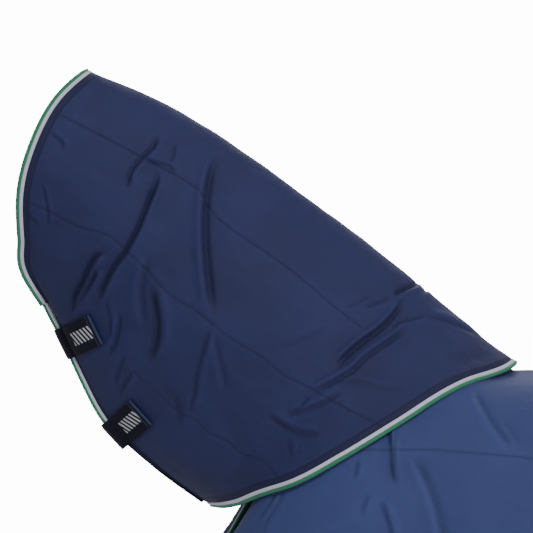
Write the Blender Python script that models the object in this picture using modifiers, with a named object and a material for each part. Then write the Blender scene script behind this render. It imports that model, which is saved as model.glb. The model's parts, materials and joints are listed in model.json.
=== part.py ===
"""Turnout rug with a detachable neck cover, in the shape it takes on a horse.

Metres, +Z up.  The horse faces -X and its left (near) side is -Y.  The origin is on
the underside of the withers pad, where the rug rests on the horse's back.
"""
from math import cos, pi, radians, sin

import bmesh
import bpy
import numpy as np
from mathutils import Matrix, Vector

# driving sizes
BACK_LENGTH = 1.40        # withers to the rear edge, along the spine
DROP = 0.80               # origin down to the hem
HALF_WIDTH = 0.33         # widest half of the barrel
CHEST_REACH = 0.69        # origin forward to the chest edge
NECK_LENGTH = 0.943       # crest of the neck cover, inside its bindings
NECK_DEPTH = 0.521        # crest to throat at the rear of the neck cover
NECK_HALF_WIDTH = 0.155
NECK_SLOPE = radians(34.66)
THROAT_OPEN = 0.16        # share of the width left between the flaps at the throat

# cloth build-up
SHELL = 0.006
LINING = 0.003
PAD = 0.008
TAPE = 0.0015
GAP = 0.0003              # between pieces that touch
EDGE_GAP = 0.0024         # cloth edge to the fold of its binding
RIDE = 0.0062             # neck cover over the rug
CLOTH = SHELL + GAP + LINING
SPINE_BUILD = CLOTH + GAP * 2 + PAD

# bindings and webbing
BINDING_WIDTH = 0.011
BINDING_PROUD = 0.0006
THROAT_BINDING = 0.006
PIPING_RADIUS = 0.0024
WEB = 0.0025
TAB_WIDTH = 0.060
TAB_CLEAR = 0.0041         # takes up the cloth's curve across the tab
STRAP_WIDTH = 0.038
TAB_PLACES = (0.7338 * NECK_LENGTH, 0.5472 * NECK_LENGTH)    # up the neck from the rear of its crest
SURCINGLE_DROP = 0.20                # from the sewn ends to the lowest point
SURCINGLE_POINTS = 17
CLOSURE_POINT = 12                   # point of a surcingle's path where its T-hook sits
CREST_TAPE_HALF = 0.008
CREST_TAPE_DEPTH = CLOTH + 0.0035    # tape's upper face under the outer face

# snap hooks and rings
HOOK_THICK = 0.003
HOOK_HALF_WIDTH = 0.010
BAY_HALF_WIDTH = 0.006
BAY_FRONT = 0.010         # from the hook's middle to the inside of its nose
BAY_BACK = -0.006
GATE_TIP = 0.0045         # the nose closes the bay beyond it
HOOK_TWIST = radians(42)
PLATE_RISE = 0.00305      # slot plate's middle over the T-hook's
HOOK_HEIGHT = 0.0075      # hook's middle above the cloth
EYE_BACK = -0.030
EYE_BAR = 0.003
EYE_FRONT = -0.018
EYE_HALF = STRAP_WIDTH / 2 + 0.004
SLOT_FRONT = -0.0205      # front of the eye's strap slot
SLOT_HALF = STRAP_WIDTH / 2 + 0.001
THROUGH = 0.01            # a cutter's reach past both faces of a plate
HOOK_NOSE = 0.005         # metal past the front of the bay
SOFTENED = 0.0012         # bevel on a cast edge
EYE_TURN = 0.012          # webbing laid back flat past its turn round a bar
SHANK_HALF = 0.0014
T_HEAD = (0.007, 0.0105, 0.013)      # back, front and half width of the T's head
KEYHOLE = (0.000, 0.012, 0.0055)     # back, front and half width
PLATE_HALF_THICK = 0.00125
RING_BAR = 0.033          # from the hook's middle to the ring's straight bar
RING_WIRE = 0.0015
TURN = RING_WIRE + 0.0009 + WEB / 2  # webbing's middle line round a bar

CREST_REAR = Vector((-0.105, 0.0, SPINE_BUILD + RIDE + CLOTH + 0.001))
UP_NECK = Vector((-cos(NECK_SLOPE), 0.0, sin(NECK_SLOPE)))
TO_THROAT = Vector((-sin(NECK_SLOPE), 0.0, -cos(NECK_SLOPE)))
NECK_PIVOT = (CREST_REAR.x + 0.02, 0.0, CREST_REAR.z)

NEAR = -1
OFF = 1


def start_empty():
    for obj in list(bpy.data.objects):
        bpy.data.objects.remove(obj, do_unlink=True)
    collection = bpy.data.collections.new("turnout_rug")
    bpy.context.scene.collection.children.link(collection)
    return collection


PARTS = start_empty()


def material(name, color, roughness, metallic=0.0):
    made = bpy.data.materials.new(name)
    made.use_nodes = True
    shader = made.node_tree.nodes["Principled BSDF"]
    shader.inputs["Base Color"].default_value = (*color, 1.0)
    shader.inputs["Roughness"].default_value = roughness
    shader.inputs["Metallic"].default_value = metallic
    return made


RUG_CLOTH = material("rug_cloth", (0.047, 0.066, 0.165), 0.75)
NECK_CLOTH = material("neck_cloth", (0.019, 0.026, 0.067), 0.75)
LINING_CLOTH = material("lining_cloth", (0.012, 0.015, 0.040), 0.6)
FLEECE = material("fleece", (0.60, 0.58, 0.52), 0.95)
BRAID = material("braid", (0.46, 0.46, 0.60), 0.6)
PIPING = material("piping", (0.017, 0.150, 0.075), 0.6)
WEBBING = material("webbing", (0.0045, 0.0048, 0.012), 0.8)
STEEL = material("nickel_steel", (0.60, 0.58, 0.54), 0.28, 1.0)


# ---------------------------------------------------------------- lines and surfaces

def line_through(knots, values, at):
    """Value at each place on a smooth line through the knots."""
    knots = np.asarray(knots, float)
    values = np.asarray(values, float)
    slopes = np.gradient(values, knots)
    at = np.clip(np.asarray(at, float), knots[0], knots[-1])
    i = np.clip(np.searchsorted(knots, at, side="right") - 1, 0, len(knots) - 2)
    step = knots[i + 1] - knots[i]
    w = (at - knots[i]) / step
    rise = (1 - w) ** 2 * w * step * slopes[i] - w ** 2 * (1 - w) * step * slopes[i + 1]
    return values[i] * (1 + 2 * w) * (1 - w) ** 2 + values[i + 1] * w ** 2 * (3 - 2 * w) + rise


CORNER = 0.5              # place on the front line where neckline meets front edge
FRONT_SHARE = 0.36        # share of the rug's length taken by chest and shoulder


def rug_front_line(t):
    """Neckline from the withers to the chest, then the front edge down to the hem."""
    up = np.minimum(t, CORNER) / CORNER
    down = np.maximum(t - CORNER, 0) / (1 - CORNER)
    knots = (0, 0.2, 0.4, 0.6, 0.8, 1)
    reach = line_through(knots, (0.380, 0.515, 0.660, 0.775, 0.884, 1.0), up)
    x = -CHEST_REACH * (reach + 0.02 * np.sin(pi * down) - 0.045 * down ** 2)
    y = HALF_WIDTH * line_through(knots, (0, 0.26, 0.40, 0.435, 0.30, 0.062), up)
    z = DROP * line_through(knots, (0.150, 0.084, -0.012, -0.140, -0.315, -0.468), up)
    return x, y, z + (-DROP - z) * down


def rug_top(x):
    places = np.array((-0.12, 0, 0.22, 0.50, 0.75, 0.89, 1.0)) * BACK_LENGTH
    rise = (0.004, 0, -0.030, -0.028, -0.004, -0.024, -0.080)
    return SPINE_BUILD + line_through(places, rise, x)


def rug_half_width(x):
    places = np.array((-0.27, 0, 0.3, 0.6, 0.85, 1.03)) * BACK_LENGTH
    return HALF_WIDTH * line_through(places, (0.82, 0.91, 1.0, 1.0, 0.92, 0.80), x)


SECTION_PLACES = (0, 0.15, 0.3, 0.45, 0.6, 0.8, 1.0)


def rug_section(t):
    """Half width and drop of the barrel's section, as shares, from spine to hem."""
    across = line_through(SECTION_PLACES, (0, 0.46, 0.80, 0.97, 1.0, 0.985, 0.95), t)
    down = line_through(SECTION_PLACES, (0, 0.035, 0.145, 0.31, 0.50, 0.75, 1.0), t)
    return across, down


def rug_side(x, t):
    across, down = rug_section(t)
    top = rug_top(x)
    return rug_half_width(x) * across, top - (top + DROP) * down


def rug_surface(s, t):
    """Outer face, off side.  s runs chest to tail, t runs spine to hem."""
    s, t = np.broadcast_arrays(np.asarray(s, float), np.asarray(t, float))
    front_x, front_y, front_z = rug_front_line(t)
    shoulder_x = BACK_LENGTH * line_through((0, 0.5, 1), (-0.072, -0.235, -0.27), t)
    rear_x = BACK_LENGTH * line_through((0, 0.3, 0.6, 1), (1.0, 1.022, 1.036, 1.0), t)
    turn = np.clip(s / FRONT_SHARE, 0, 1) * pi / 2
    back = np.clip((s - FRONT_SHARE) / (1 - FRONT_SHARE), 0, 1)
    x = shoulder_x + (rear_x - shoulder_x) * back
    y, z = rug_side(x, t)
    x = np.where(back > 0, x, front_x + (shoulder_x - front_x) * (1 - np.cos(turn)))
    y = np.where(back > 0, y, front_y + (y - front_y) * np.sin(turn))
    low = np.clip(t / 0.3, 0, 1)
    fall = (1 - low) * (1 - np.cos(turn)) + low * np.sin(turn)
    z = np.where(back > 0, z, front_z + (z - front_z) * fall)
    return np.stack((x, y, z), axis=-1)


def neck_surface_free(u, v):
    """Outer face, off side, before it is fitted over the rug.

    u runs head to withers and v runs crest to throat: round over the crest, then two flaps
    that come together nearly flat at the throat.
    """
    u, v = np.broadcast_arrays(np.asarray(u, float), np.asarray(v, float))
    angle = pi * v
    share = (1 - np.cos(angle)) / 2
    front = NECK_LENGTH * line_through(
        (0, 0.2, 0.42, 0.63, 0.8, 0.93, 1), (1.0, 1.013, 1.0, 0.968, 0.915, 0.845, 0.765), share)
    rear = NECK_LENGTH * line_through(
        (0, 0.2, 0.37, 0.555, 0.737, 0.9, 1), (0.010, 0.098, 0.150, 0.199, 0.246, 0.302, 0.350), share)
    along = front + (rear - front) * u
    crest = NECK_DEPTH * line_through((0, 0.25, 0.5, 0.75, 1), (0, -0.062, -0.062, -0.040, 0), u)
    throat = NECK_DEPTH * line_through(
        (0, 0.15, 0.3, 0.45, 0.75, 1), (0.765, 0.845, 0.935, 0.975, 0.987, 0.975), u)
    depth = crest + (throat - crest) * share
    width = NECK_HALF_WIDTH * line_through((0, 0.3, 0.6, 1), (0.64, 0.70, 0.82, 1.08), u)
    round_crest = np.sin(angle) * (1 - 0.2 * np.cos(angle) * np.abs(np.cos(angle)))
    flat_flap = 1 - (1 - THROAT_OPEN) * np.maximum(2 * share - 1, 0) ** 1.8
    over_rug = np.clip(u / 0.5 - 1, 0, 1)
    flap = flat_flap + (round_crest - flat_flap) * over_rug ** 2 * (3 - 2 * over_rug)
    across = width * np.where(v < 0.5, round_crest, flap)
    middle = np.array(CREST_REAR) + along[..., None] * np.array(UP_NECK)
    middle = middle + depth[..., None] * np.array(TO_THROAT)
    middle[..., 1] = across
    return middle


def unit(vectors):
    return vectors / np.maximum(np.linalg.norm(vectors, axis=-1, keepdims=True), 1e-9)


def grid_mesh(name, points):
    """Open sheet over a grid of points, facing out on the off side."""
    rows, columns = points.shape[:2]
    corner = np.arange(rows * columns).reshape(rows, columns)
    a, b, c, d = corner[:-1, :-1], corner[:-1, 1:], corner[1:, 1:], corner[1:, :-1]
    faces = np.concatenate((np.stack((a, c, b), -1), np.stack((a, d, c), -1))).reshape(-1, 3)
    mesh = bpy.data.meshes.new(name)
    mesh.from_pydata(points.reshape(-1, 3).tolist(), [], faces.tolist())
    return mesh


def sheet_directions(points):
    """The direction out of the sheet at each point of its grid; level on the spine."""
    mesh = grid_mesh("directions", points)
    found = np.array([tuple(item.vector) for item in mesh.vertex_normals])
    bpy.data.meshes.remove(mesh)
    found = found.reshape(points.shape)
    found[:, 0, 1] = 0
    return unit(found)


def edge_frame(points, out, inner):
    """Points on an edge, the directions out of its cloth, and those past its edge."""
    travel = unit(np.gradient(points, axis=0))
    past = unit(np.cross(travel, out))
    inward = inner - points
    past = past * np.where((past * inward).sum(-1, keepdims=True) > 0, -1, 1)
    return points, out, past


SHOULDER_X = -0.072 * BACK_LENGTH
WITHERS_S = FRONT_SHARE + (1 - FRONT_SHARE) * SHOULDER_X / (SHOULDER_X - BACK_LENGTH)
RUG_S = np.concatenate((np.linspace(0, FRONT_SHARE, 10), (WITHERS_S,), np.linspace(FRONT_SHARE, 1, 8)[1:]))
RUG_SHOULDER = 9          # column of the grid at the shoulder
RUG_T = np.concatenate((np.linspace(0, CORNER, 8), np.linspace(CORNER, 1, 5)[1:]))
RUG_CORNER = 7            # row of the grid where the neckline ends
RUG_GRID = rug_surface(*np.meshgrid(RUG_S, RUG_T, indexing="ij"))
RUG_OUT = sheet_directions(RUG_GRID)


def rug_neckline():
    edge = edge_frame(RUG_GRID[0], RUG_OUT[0], RUG_GRID[1])
    return [item[:RUG_CORNER + 1].copy() for item in edge]


EDGE_REACH = EDGE_GAP * 2 + BINDING_WIDTH + PIPING_RADIUS * 2


def rug_under_cover():
    """Points and directions of the rug's shoulders and neckline that the cover lies over."""
    s, t = np.meshgrid(np.linspace(0, 0.62, 64), np.linspace(0, 0.86, 64), indexing="ij")
    points = [rug_surface(s, t).reshape(-1, 3)]
    out = [sheet_directions(rug_surface(s, t)).reshape(-1, 3)]
    edge, edge_out, past = rug_neckline()
    for reach in np.linspace(0, EDGE_REACH, 5):
        for share in np.linspace(0, 1, 5)[:-1]:
            bound = edge + past * reach
            points.append(bound[:-1] * (1 - share) + bound[1:] * share)
            out.append(unit(edge_out[:-1] * (1 - share) + edge_out[1:] * share))
    return np.concatenate(points), np.concatenate(out)


SHOULDER, SHOULDER_OUT = rug_under_cover()
CLEAR_OF_RUG = CLOTH + BINDING_PROUD * 2 + RIDE


def lift_over_rug(points):
    """Moves each point out of the rug's way: sideways where the rug is steep, up on its top."""
    flat = points.reshape(-1, 3).copy()
    for _ in range(4):
        distance = ((flat[:, None, :] - SHOULDER[None, :, :]) ** 2).sum(-1)
        nearest = distance.argmin(1)
        out = SHOULDER_OUT[nearest]
        reach = np.sqrt(distance.min(1))
        height = ((flat - SHOULDER[nearest]) * out).sum(-1)
        aside = np.sqrt(np.maximum(reach ** 2 - height ** 2, 0))
        push = (height < CLEAR_OF_RUG) & (aside < BESIDE) & (height > -INSIDE)
        upward = np.clip((0.75 - out[:, 1]) / 0.35, 0, 1)
        way = unit(out * np.stack((upward, np.ones_like(upward), upward), -1))
        rise = (CLEAR_OF_RUG - height) / np.maximum((way * out).sum(-1), 0.4)
        flat += np.where(push, rise, 0)[:, None] * way
    return flat.reshape(points.shape)


BESIDE = 0.03             # how far past the rug's edge the cover still rides over it
INSIDE = 0.12             # deepest the free shape may start inside the rug
THROAT_END = 0.945        # the flaps stop short of meeting under the throat
NECK_U = np.linspace(0, 1, 19)
NECK_V = np.concatenate((np.linspace(0, 0.8, 11), (0.86, 0.91, THROAT_END)))


def smooth_rows(move, rounds):
    """Evens out a grid of moves with its neighbours."""
    for _ in range(rounds):
        padded = np.pad(move, ((1, 1), (1, 1), (0, 0)), mode="edge")
        near = padded[:-2, 1:-1] + padded[2:, 1:-1] + padded[1:-1, :-2] + padded[1:-1, 2:]
        move = 0.5 * move + 0.125 * near
    return move


def neck_grid():
    """The neck cover's outer face on its grid, fitted over the rug's shoulders."""
    u, v = np.meshgrid(NECK_U, NECK_V, indexing="ij")
    free = neck_surface_free(u, v)
    move = lift_over_rug(free) - free
    for _ in range(6):
        fitted = free + smooth_rows(move, 2)
        move = lift_over_rug(fitted) - free
    move[:, 0, 1] = 0
    return free + move


NECK_GRID = neck_grid()
NECK_OUT = sheet_directions(NECK_GRID)


# ---------------------------------------------------------------- making objects

def new_object(name, mesh, look, pivot=(0, 0, 0)):
    obj = bpy.data.objects.new(name, mesh)
    mesh.materials.clear()
    mesh.materials.append(look)
    mesh.transform(Matrix.Translation(-Vector(pivot)))
    obj.location = pivot
    PARTS.objects.link(obj)
    return obj


def point_outward(mesh):
    """Turns every face out of the closed body."""
    work = bmesh.new()
    work.from_mesh(mesh)
    bmesh.ops.recalc_face_normals(work, faces=work.faces)
    if work.calc_volume(signed=True) < 0:
        bmesh.ops.reverse_faces(work, faces=work.faces)
    work.to_mesh(mesh)
    work.free()


def shade(mesh, sharp_degrees=40):
    mesh.shade_smooth()
    mesh.set_sharp_from_angle(angle=radians(sharp_degrees))


def finished(obj):
    """The object's shape after its modifiers, as a mesh of its own."""
    graph = bpy.context.evaluated_depsgraph_get()
    mesh = bpy.data.meshes.new_from_object(obj.evaluated_get(graph))
    bpy.data.objects.remove(obj, do_unlink=True)
    return mesh


def layer(name, points, out, depth, thickness, look, side=OFF, pivot=(0, 0, 0)):
    """A cloth layer: open sheet at a depth under the outer face, given its thickness."""
    sheet = points - out * depth
    mesh = grid_mesh(name, sheet)
    obj = bpy.data.objects.new(name, mesh)
    PARTS.objects.link(obj)
    thick = obj.modifiers.new("thickness", "SOLIDIFY")
    thick.thickness = thickness
    thick.offset = -1
    mesh = finished(obj)
    for vertex in mesh.vertices:
        vertex.co.y = max(vertex.co.y, GAP / 2)
        vertex.co.y *= side
    mesh.update()
    point_outward(mesh)
    shade(mesh)
    return new_object(name, mesh, look, pivot)


def band(name, path, across, out, reach, height, look, pivot=(0, 0, 0)):
    """A flat strip carried along a path: reach is its two sides, height its two faces."""
    path, across, out = (np.asarray(item, float) for item in (path, across, out))
    corners = ((reach[0], height[0]), (reach[1], height[0]), (reach[1], height[1]), (reach[0], height[1]))
    rings = np.stack([path + across * a + out * h for a, h in corners], axis=1)
    work = bmesh.new()
    rows = [[work.verts.new(corner) for corner in ring] for ring in rings]
    for here, there in zip(rows, rows[1:]):
        for k in range(4):
            work.faces.new((here[k], here[(k + 1) % 4], there[(k + 1) % 4], there[k]))
    work.faces.new(rows[0][::-1])
    work.faces.new(rows[-1])
    mesh = bpy.data.meshes.new(name)
    work.to_mesh(mesh)
    work.free()
    point_outward(mesh)
    shade(mesh)
    return new_object(name, mesh, look, pivot)


def wire(name, path, radius, look, pivot=(0, 0, 0), closed=False):
    """A round wire or cord along a path, joined end to end if it is closed."""
    curve = bpy.data.curves.new(name, "CURVE")
    curve.dimensions = "3D"
    curve.bevel_depth = radius
    curve.bevel_resolution = 1
    curve.use_fill_caps = not closed
    spline = curve.splines.new("POLY")
    spline.points.add(len(path) - 1)
    for point, place in zip(spline.points, path):
        point.co = (*place, 1)
    spline.use_cyclic_u = closed
    obj = bpy.data.objects.new(name, curve)
    PARTS.objects.link(obj)
    mesh = finished(obj)
    work = bmesh.new()
    work.from_mesh(mesh)
    bmesh.ops.remove_doubles(work, verts=work.verts, dist=0.00001)
    work.to_mesh(mesh)
    work.free()
    point_outward(mesh)
    shade(mesh, 50)
    return new_object(name, mesh, look, pivot)


def mirrored(points, side):
    return points * np.array((1, side, 1))


def over_the_spine(points, out, past):
    """Joins the off-side half of an edge to its mirror image on the near side."""
    points[0, 1] = 0
    out[0] = unit(out[0] * np.array((1, 0, 1)))
    past[0] = unit(past[0] * np.array((1, 0, 1)))
    halves = ((mirrored(item[:0:-1], NEAR), item) for item in (points, out, past))
    return tuple(np.concatenate(pair) for pair in halves)


def mitred(points, past):
    """Lengthens the sideways directions at bends, so that a carried strip keeps its width."""
    legs = unit(np.diff(points, axis=0))
    half_turn = np.linalg.norm(legs[1:] + legs[:-1], axis=1) / 2
    past = past.copy()
    past[1:-1] /= np.maximum(half_turn, 0.7)[:, None]
    return past


def binding(name, frame, pivot=(0, 0, 0), width=BINDING_WIDTH):
    """Folded edge tape, standing just past the cut edge of the shell and its lining."""
    points, out, past = frame
    past = mitred(points, past)
    height = (BINDING_PROUD, -CLOTH - BINDING_PROUD)
    return band(name, points, past, out, (EDGE_GAP, EDGE_GAP + width), height, BRAID, pivot)


def piping(name, frame, pivot=(0, 0, 0)):
    """Round cord sewn along the outside of a binding."""
    points, out, past = frame
    past = mitred(points, past)
    reach = EDGE_GAP * 2 + BINDING_WIDTH + PIPING_RADIUS
    return wire(name, points + past * reach - out * CLOTH * 0.35, PIPING_RADIUS, PIPING, pivot)


# ---------------------------------------------------------------- the rug

def rug_cloth():
    for side, word in ((NEAR, "near"), (OFF, "off")):
        layer(f"rug_shell_{word}", RUG_GRID, RUG_OUT, 0, SHELL, RUG_CLOTH, side)
        layer(f"rug_lining_{word}", RUG_GRID, RUG_OUT, SHELL + GAP, LINING, LINING_CLOTH, side)


def rug_bindings():
    neckline = over_the_spine(*rug_neckline())
    binding("rug_neckline_binding", neckline)
    piping("rug_neckline_piping", neckline)
    front = [item[RUG_CORNER:] for item in edge_frame(RUG_GRID[0], RUG_OUT[0], RUG_GRID[1])]
    hem = edge_frame(RUG_GRID[:, -1], RUG_OUT[:, -1], RUG_GRID[:, -2])
    for side, word in ((NEAR, "near"), (OFF, "off")):
        binding(f"rug_front_binding_{word}", [mirrored(item, side) for item in front])
        binding(f"rug_hem_binding_{word}", [mirrored(item, side) for item in hem])
    rear = over_the_spine(*edge_frame(RUG_GRID[-1], RUG_OUT[-1], RUG_GRID[-2]))
    binding("rug_rear_binding", rear)


# ---------------------------------------------------------------- the neck cover

def neck_cloth():
    for side, word in ((NEAR, "near"), (OFF, "off")):
        layer(f"neck_shell_{word}", NECK_GRID, NECK_OUT, 0, SHELL, NECK_CLOTH, side, NECK_PIVOT)
        layer(f"neck_lining_{word}", NECK_GRID, NECK_OUT, SHELL + GAP, LINING, LINING_CLOTH, side, NECK_PIVOT)


def neck_bindings():
    for word, row, inner in (("front", 0, 1), ("rear", -1, -2)):
        edge = over_the_spine(*edge_frame(NECK_GRID[row], NECK_OUT[row], NECK_GRID[inner]))
        binding(f"neck_{word}_binding", edge, pivot=NECK_PIVOT)
        piping(f"neck_{word}_piping", edge, NECK_PIVOT)
    throat = edge_frame(NECK_GRID[:, -1], NECK_OUT[:, -1], NECK_GRID[:, -2])
    for side, word in ((NEAR, "near"), (OFF, "off")):
        edge = [mirrored(item, side) for item in throat]
        binding(f"neck_throat_binding_{word}", edge, pivot=NECK_PIVOT, width=THROAT_BINDING)


def crest_tape():
    points, out = NECK_GRID[1:-1, 0], NECK_OUT[1:-1, 0]
    across = np.tile((0.0, 1.0, 0.0), (len(points), 1))
    faces = (-CREST_TAPE_DEPTH, -CREST_TAPE_DEPTH - TAPE)
    reach = (-CREST_TAPE_HALF, CREST_TAPE_HALF)
    band("neck_crest_tape", points, across, out, reach, faces, LINING_CLOTH, NECK_PIVOT)


# ---------------------------------------------------------------- webbing and hardware

def strap_frame(path, across):
    """Frame of a strap along a path, level across its width."""
    path = np.asarray(path, float)
    travel = unit(np.gradient(path, axis=0))
    across = np.broadcast_to(np.asarray(across, float), path.shape)
    out = unit(np.cross(travel, across))
    return path, unit(np.cross(out, travel)), out


def strap(name, path, across, width=STRAP_WIDTH, pivot=(0, 0, 0)):
    """Flat webbing along a path."""
    path, across, out = strap_frame(path, across)
    out = mitred(path, out)
    return band(name, path, across, out, (-width / 2, width / 2), (-WEB / 2, WEB / 2), WEBBING, pivot)


class Place:
    """A local frame: along the pull, across it, and up off the cloth."""

    def __init__(self, at, along, up):
        self.at = np.asarray(at, float)
        self.along = unit(np.asarray(along, float))
        up = np.asarray(up, float)
        self.up = unit(up - self.along * (up @ self.along))
        self.across = np.cross(self.up, self.along)

    def point(self, p, q=0.0, n=0.0):
        return self.at + self.along * p + self.across * q + self.up * n

    def matrix(self, twist=0.0):
        across = self.across * cos(twist) + self.up * sin(twist)
        up = self.up * cos(twist) - self.across * sin(twist)
        columns = Matrix((self.along, across, up)).transposed().to_4x4()
        columns.translation = Vector(self.at)
        return columns


def box(low, high):
    """A plain block between two corners, as a loose mesh."""
    work = bmesh.new()
    bmesh.ops.create_cube(work, size=1)
    size = Vector(high) - Vector(low)
    middle = (Vector(high) + Vector(low)) / 2
    bmesh.ops.transform(work, verts=work.verts, matrix=Matrix.Translation(middle) @ Matrix.Diagonal((*size, 1)))
    mesh = bpy.data.meshes.new("block")
    work.to_mesh(mesh)
    work.free()
    return mesh


def rounded_box(low, high, bevel):
    obj = bpy.data.objects.new("rounded", box(low, high))
    PARTS.objects.link(obj)
    soft = obj.modifiers.new("soft", "BEVEL")
    soft.width = bevel
    soft.segments = 1
    return finished(obj)


def combined(first, others, operation):
    """One mesh from several by exact Booleans."""
    base = bpy.data.objects.new("base", first)
    PARTS.objects.link(base)
    tools = []
    for mesh in others:
        tool = bpy.data.objects.new("tool", mesh)
        PARTS.objects.link(tool)
        cut = base.modifiers.new("cut", "BOOLEAN")
        cut.operation = operation
        cut.object = tool
        tools.append(tool)
    mesh = finished(base)
    for tool in tools:
        bpy.data.objects.remove(tool, do_unlink=True)
    return mesh


def steel(name, mesh, place, pivot, twist=0.0):
    mesh.transform(place.matrix(twist))
    point_outward(mesh)
    return new_object(name, mesh, STEEL, pivot)


def slotted_eye(front):
    """Flat plate with a slot that the webbing passes through."""
    plate = rounded_box((EYE_BACK, -EYE_HALF, -HOOK_THICK / 2), (front, EYE_HALF, HOOK_THICK / 2), SOFTENED)
    slot = box((EYE_BACK + EYE_BAR, -SLOT_HALF, -THROUGH), (SLOT_FRONT, SLOT_HALF, THROUGH))
    return combined(plate, [slot], "DIFFERENCE")


def snap_hook(name, place, pivot):
    """Eye plate with a strap slot, and a hook turned on its shank; the gate closes its side."""
    half, thick = HOOK_HALF_WIDTH, HOOK_THICK / 2
    eye = slotted_eye(EYE_FRONT)
    shank = box((-0.0195, -0.003, -SHANK_HALF), (-0.010, 0.003, SHANK_HALF))
    hook = rounded_box((-0.0115, -half, -thick), (BAY_FRONT + HOOK_NOSE, half, thick), SOFTENED)
    bay = box((BAY_BACK, -BAY_HALF_WIDTH, -THROUGH), (BAY_FRONT, BAY_HALF_WIDTH, THROUGH))
    gate_space = box((BAY_BACK, 0.002, -THROUGH), (GATE_TIP, half + THROUGH, THROUGH))
    hook = combined(hook, [bay, gate_space], "DIFFERENCE")
    hook.transform(Matrix.Rotation(HOOK_TWIST, 4, "X"))
    steel(f"{name}_hook", combined(eye, [shank, hook], "UNION"), place, pivot)
    inner = BAY_HALF_WIDTH + 0.0005
    gate = box((BAY_BACK + 0.0012, inner, -thick), (GATE_TIP - 0.0005, half, thick))
    hinge = Matrix.Rotation(HOOK_TWIST, 4, "X") @ Vector((BAY_BACK + 0.0025, (inner + half) / 2, 0))
    steel(f"{name}_gate", gate, place, place.point(*hinge), HOOK_TWIST)


def ring(name, place, pivot):
    half = STRAP_WIDTH / 2 + 0.002 + RING_WIRE
    shape = ((RING_BAR, -half), (RING_BAR, half), (0.019, half), (0.0105, 0.013), (0.0075, 0.0075),
             (0.0075, -0.0075), (0.0105, -0.013), (0.019, -half))
    path = [place.point(p, q) for p, q in shape]
    return wire(name, path, RING_WIRE, STEEL, pivot, closed=True)


def round_bar(place, bar, side, far):
    """Webbing's middle line round a bar: in on one face, round it, back on the other."""
    bend = TURN * 0.75
    return [place.point(bar + side * far, 0, -TURN), place.point(bar, 0, -TURN),
            place.point(bar - side * bend, 0, -bend), place.point(bar - side * TURN, 0, 0),
            place.point(bar - side * bend, 0, bend), place.point(bar, 0, TURN),
            place.point(bar + side * far, 0, TURN)]


def chest_closure(name, row, pivot):
    """Strap from the off side, snap hook, and a D-ring on its own tab on the near side."""
    lift = BINDING_PROUD + GAP * 2 + WEB / 2
    over_edge = np.array((0.0035, 0.0015, 0, 0, 0, 0))[:, None]
    raised = RUG_GRID[:6, row] + RUG_OUT[:6, row] * (lift + over_edge)
    off = raised[3::-1]
    near = mirrored(raised, NEAR)
    near_out = mirrored(RUG_OUT[:6, row], NEAR)
    middle = near[1] * 0.35 + near[2] * 0.65
    up = unit(near_out[1] + near_out[2])
    place = Place(middle + up * (HOOK_HEIGHT - lift), near[2] - near[1], up)
    eye = round_bar(place, EYE_BACK + EYE_BAR / 2, -1, EYE_TURN)
    rising = unit(RUG_GRID[:6, row - 1] - RUG_GRID[:6, row + 1])
    across = [*rising[:4][::-1], mirrored(rising[0], NEAR), *[place.across] * len(eye)]
    strap(f"{name}_strap", [*off, near[0], *eye[::-1]], across)
    tab = round_bar(place, RING_BAR, 1, 0.010)
    far = [near[i] - near_out[i] * (BINDING_PROUD + GAP) for i in (4, 5)]
    high = [near[i] + near_out[i] * (WEB + GAP) for i in (5, 4)]
    ends = [mirrored(rising[i], NEAR) for i in (5, 4)]
    across = [*ends, *[place.across] * len(tab), *ends[::-1]]
    strap(f"{name}_ring_tab", [far[1], far[0], *tab, high[1], high[0]], across)
    ring(f"{name}_ring", place, pivot)
    snap_hook(name, place, pivot)


def throat_tab(name, up_neck):
    """Closure tab round the throat, square to the neck, from the off flap to the near side.

    It peels about its off end, where it is sewn on.
    """
    columns = range(len(NECK_V) - 5, len(NECK_V))
    along = (NECK_GRID - np.array(CREST_REAR)) @ np.array(UP_NECK)
    points, out = [], []
    for j in columns:
        row = np.interp(-up_neck, -along[:, j], np.arange(len(NECK_U)))
        i = min(int(row), len(NECK_U) - 2)
        share = row - i
        points.append(NECK_GRID[i, j] * (1 - share) + NECK_GRID[i + 1, j] * share)
        out.append(NECK_OUT[i, j] * (1 - share) + NECK_OUT[i + 1, j] * share)
    points, out = np.array(points), unit(np.array(out))
    points = points + out * (BINDING_PROUD + TAB_CLEAR + WEB / 2)
    near = mirrored(np.concatenate(((points[:1] + points[1:2]) / 2, points[1:])), NEAR)
    off = points[1:][::-1]
    beyond = EDGE_GAP + THROAT_BINDING + 0.001
    near_corner = near[-1] + unit(near[-1] - near[-2]) * beyond
    off_corner = off[0] + unit(off[0] - off[1]) * beyond
    past = (near_corner + off_corner) / 2 + unit(near[-1] - near[-2] + off[0] - off[1]) * 0.003
    path = [*near, near_corner, past, off_corner, *off]
    travel = NECK_GRID[i + 1, -1] - NECK_GRID[i, -1]
    strap(name, path, unit(travel * np.array((1, 0, 1))), TAB_WIDTH, tuple(off[-1]))


def under_belly(start, end, drop):
    """A strap's middle line hanging between two sewn ends, flatter than a parabola at its lowest."""
    w = np.linspace(0, 1, SURCINGLE_POINTS)[:, None]
    path = np.asarray(start) * (1 - w) + np.asarray(end) * w
    path[:, 2] -= drop * (4 * w * (1 - w))[:, 0] ** 0.55
    return path


def sewn_end(x, side, clear=0.0048):
    """Two points against the inside of the lining, where a strap is sewn on."""
    inside = CLOTH + clear + WEB / 2
    points = []
    for t in (0.80, 0.86):
        y, z = rug_side(x, t)
        points.append((x, side * (y - inside), z))
    return np.array(points)


def turning(across, count, over=4):
    """Strap widths that start flat against the lining and turn into the strap's own plane."""
    share = np.clip(np.arange(count) / over, 0, 1)[:, None]
    level = np.array((np.sign(across[0]), 0, 0))
    return unit(level * (1 - share) + across * share)


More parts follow.
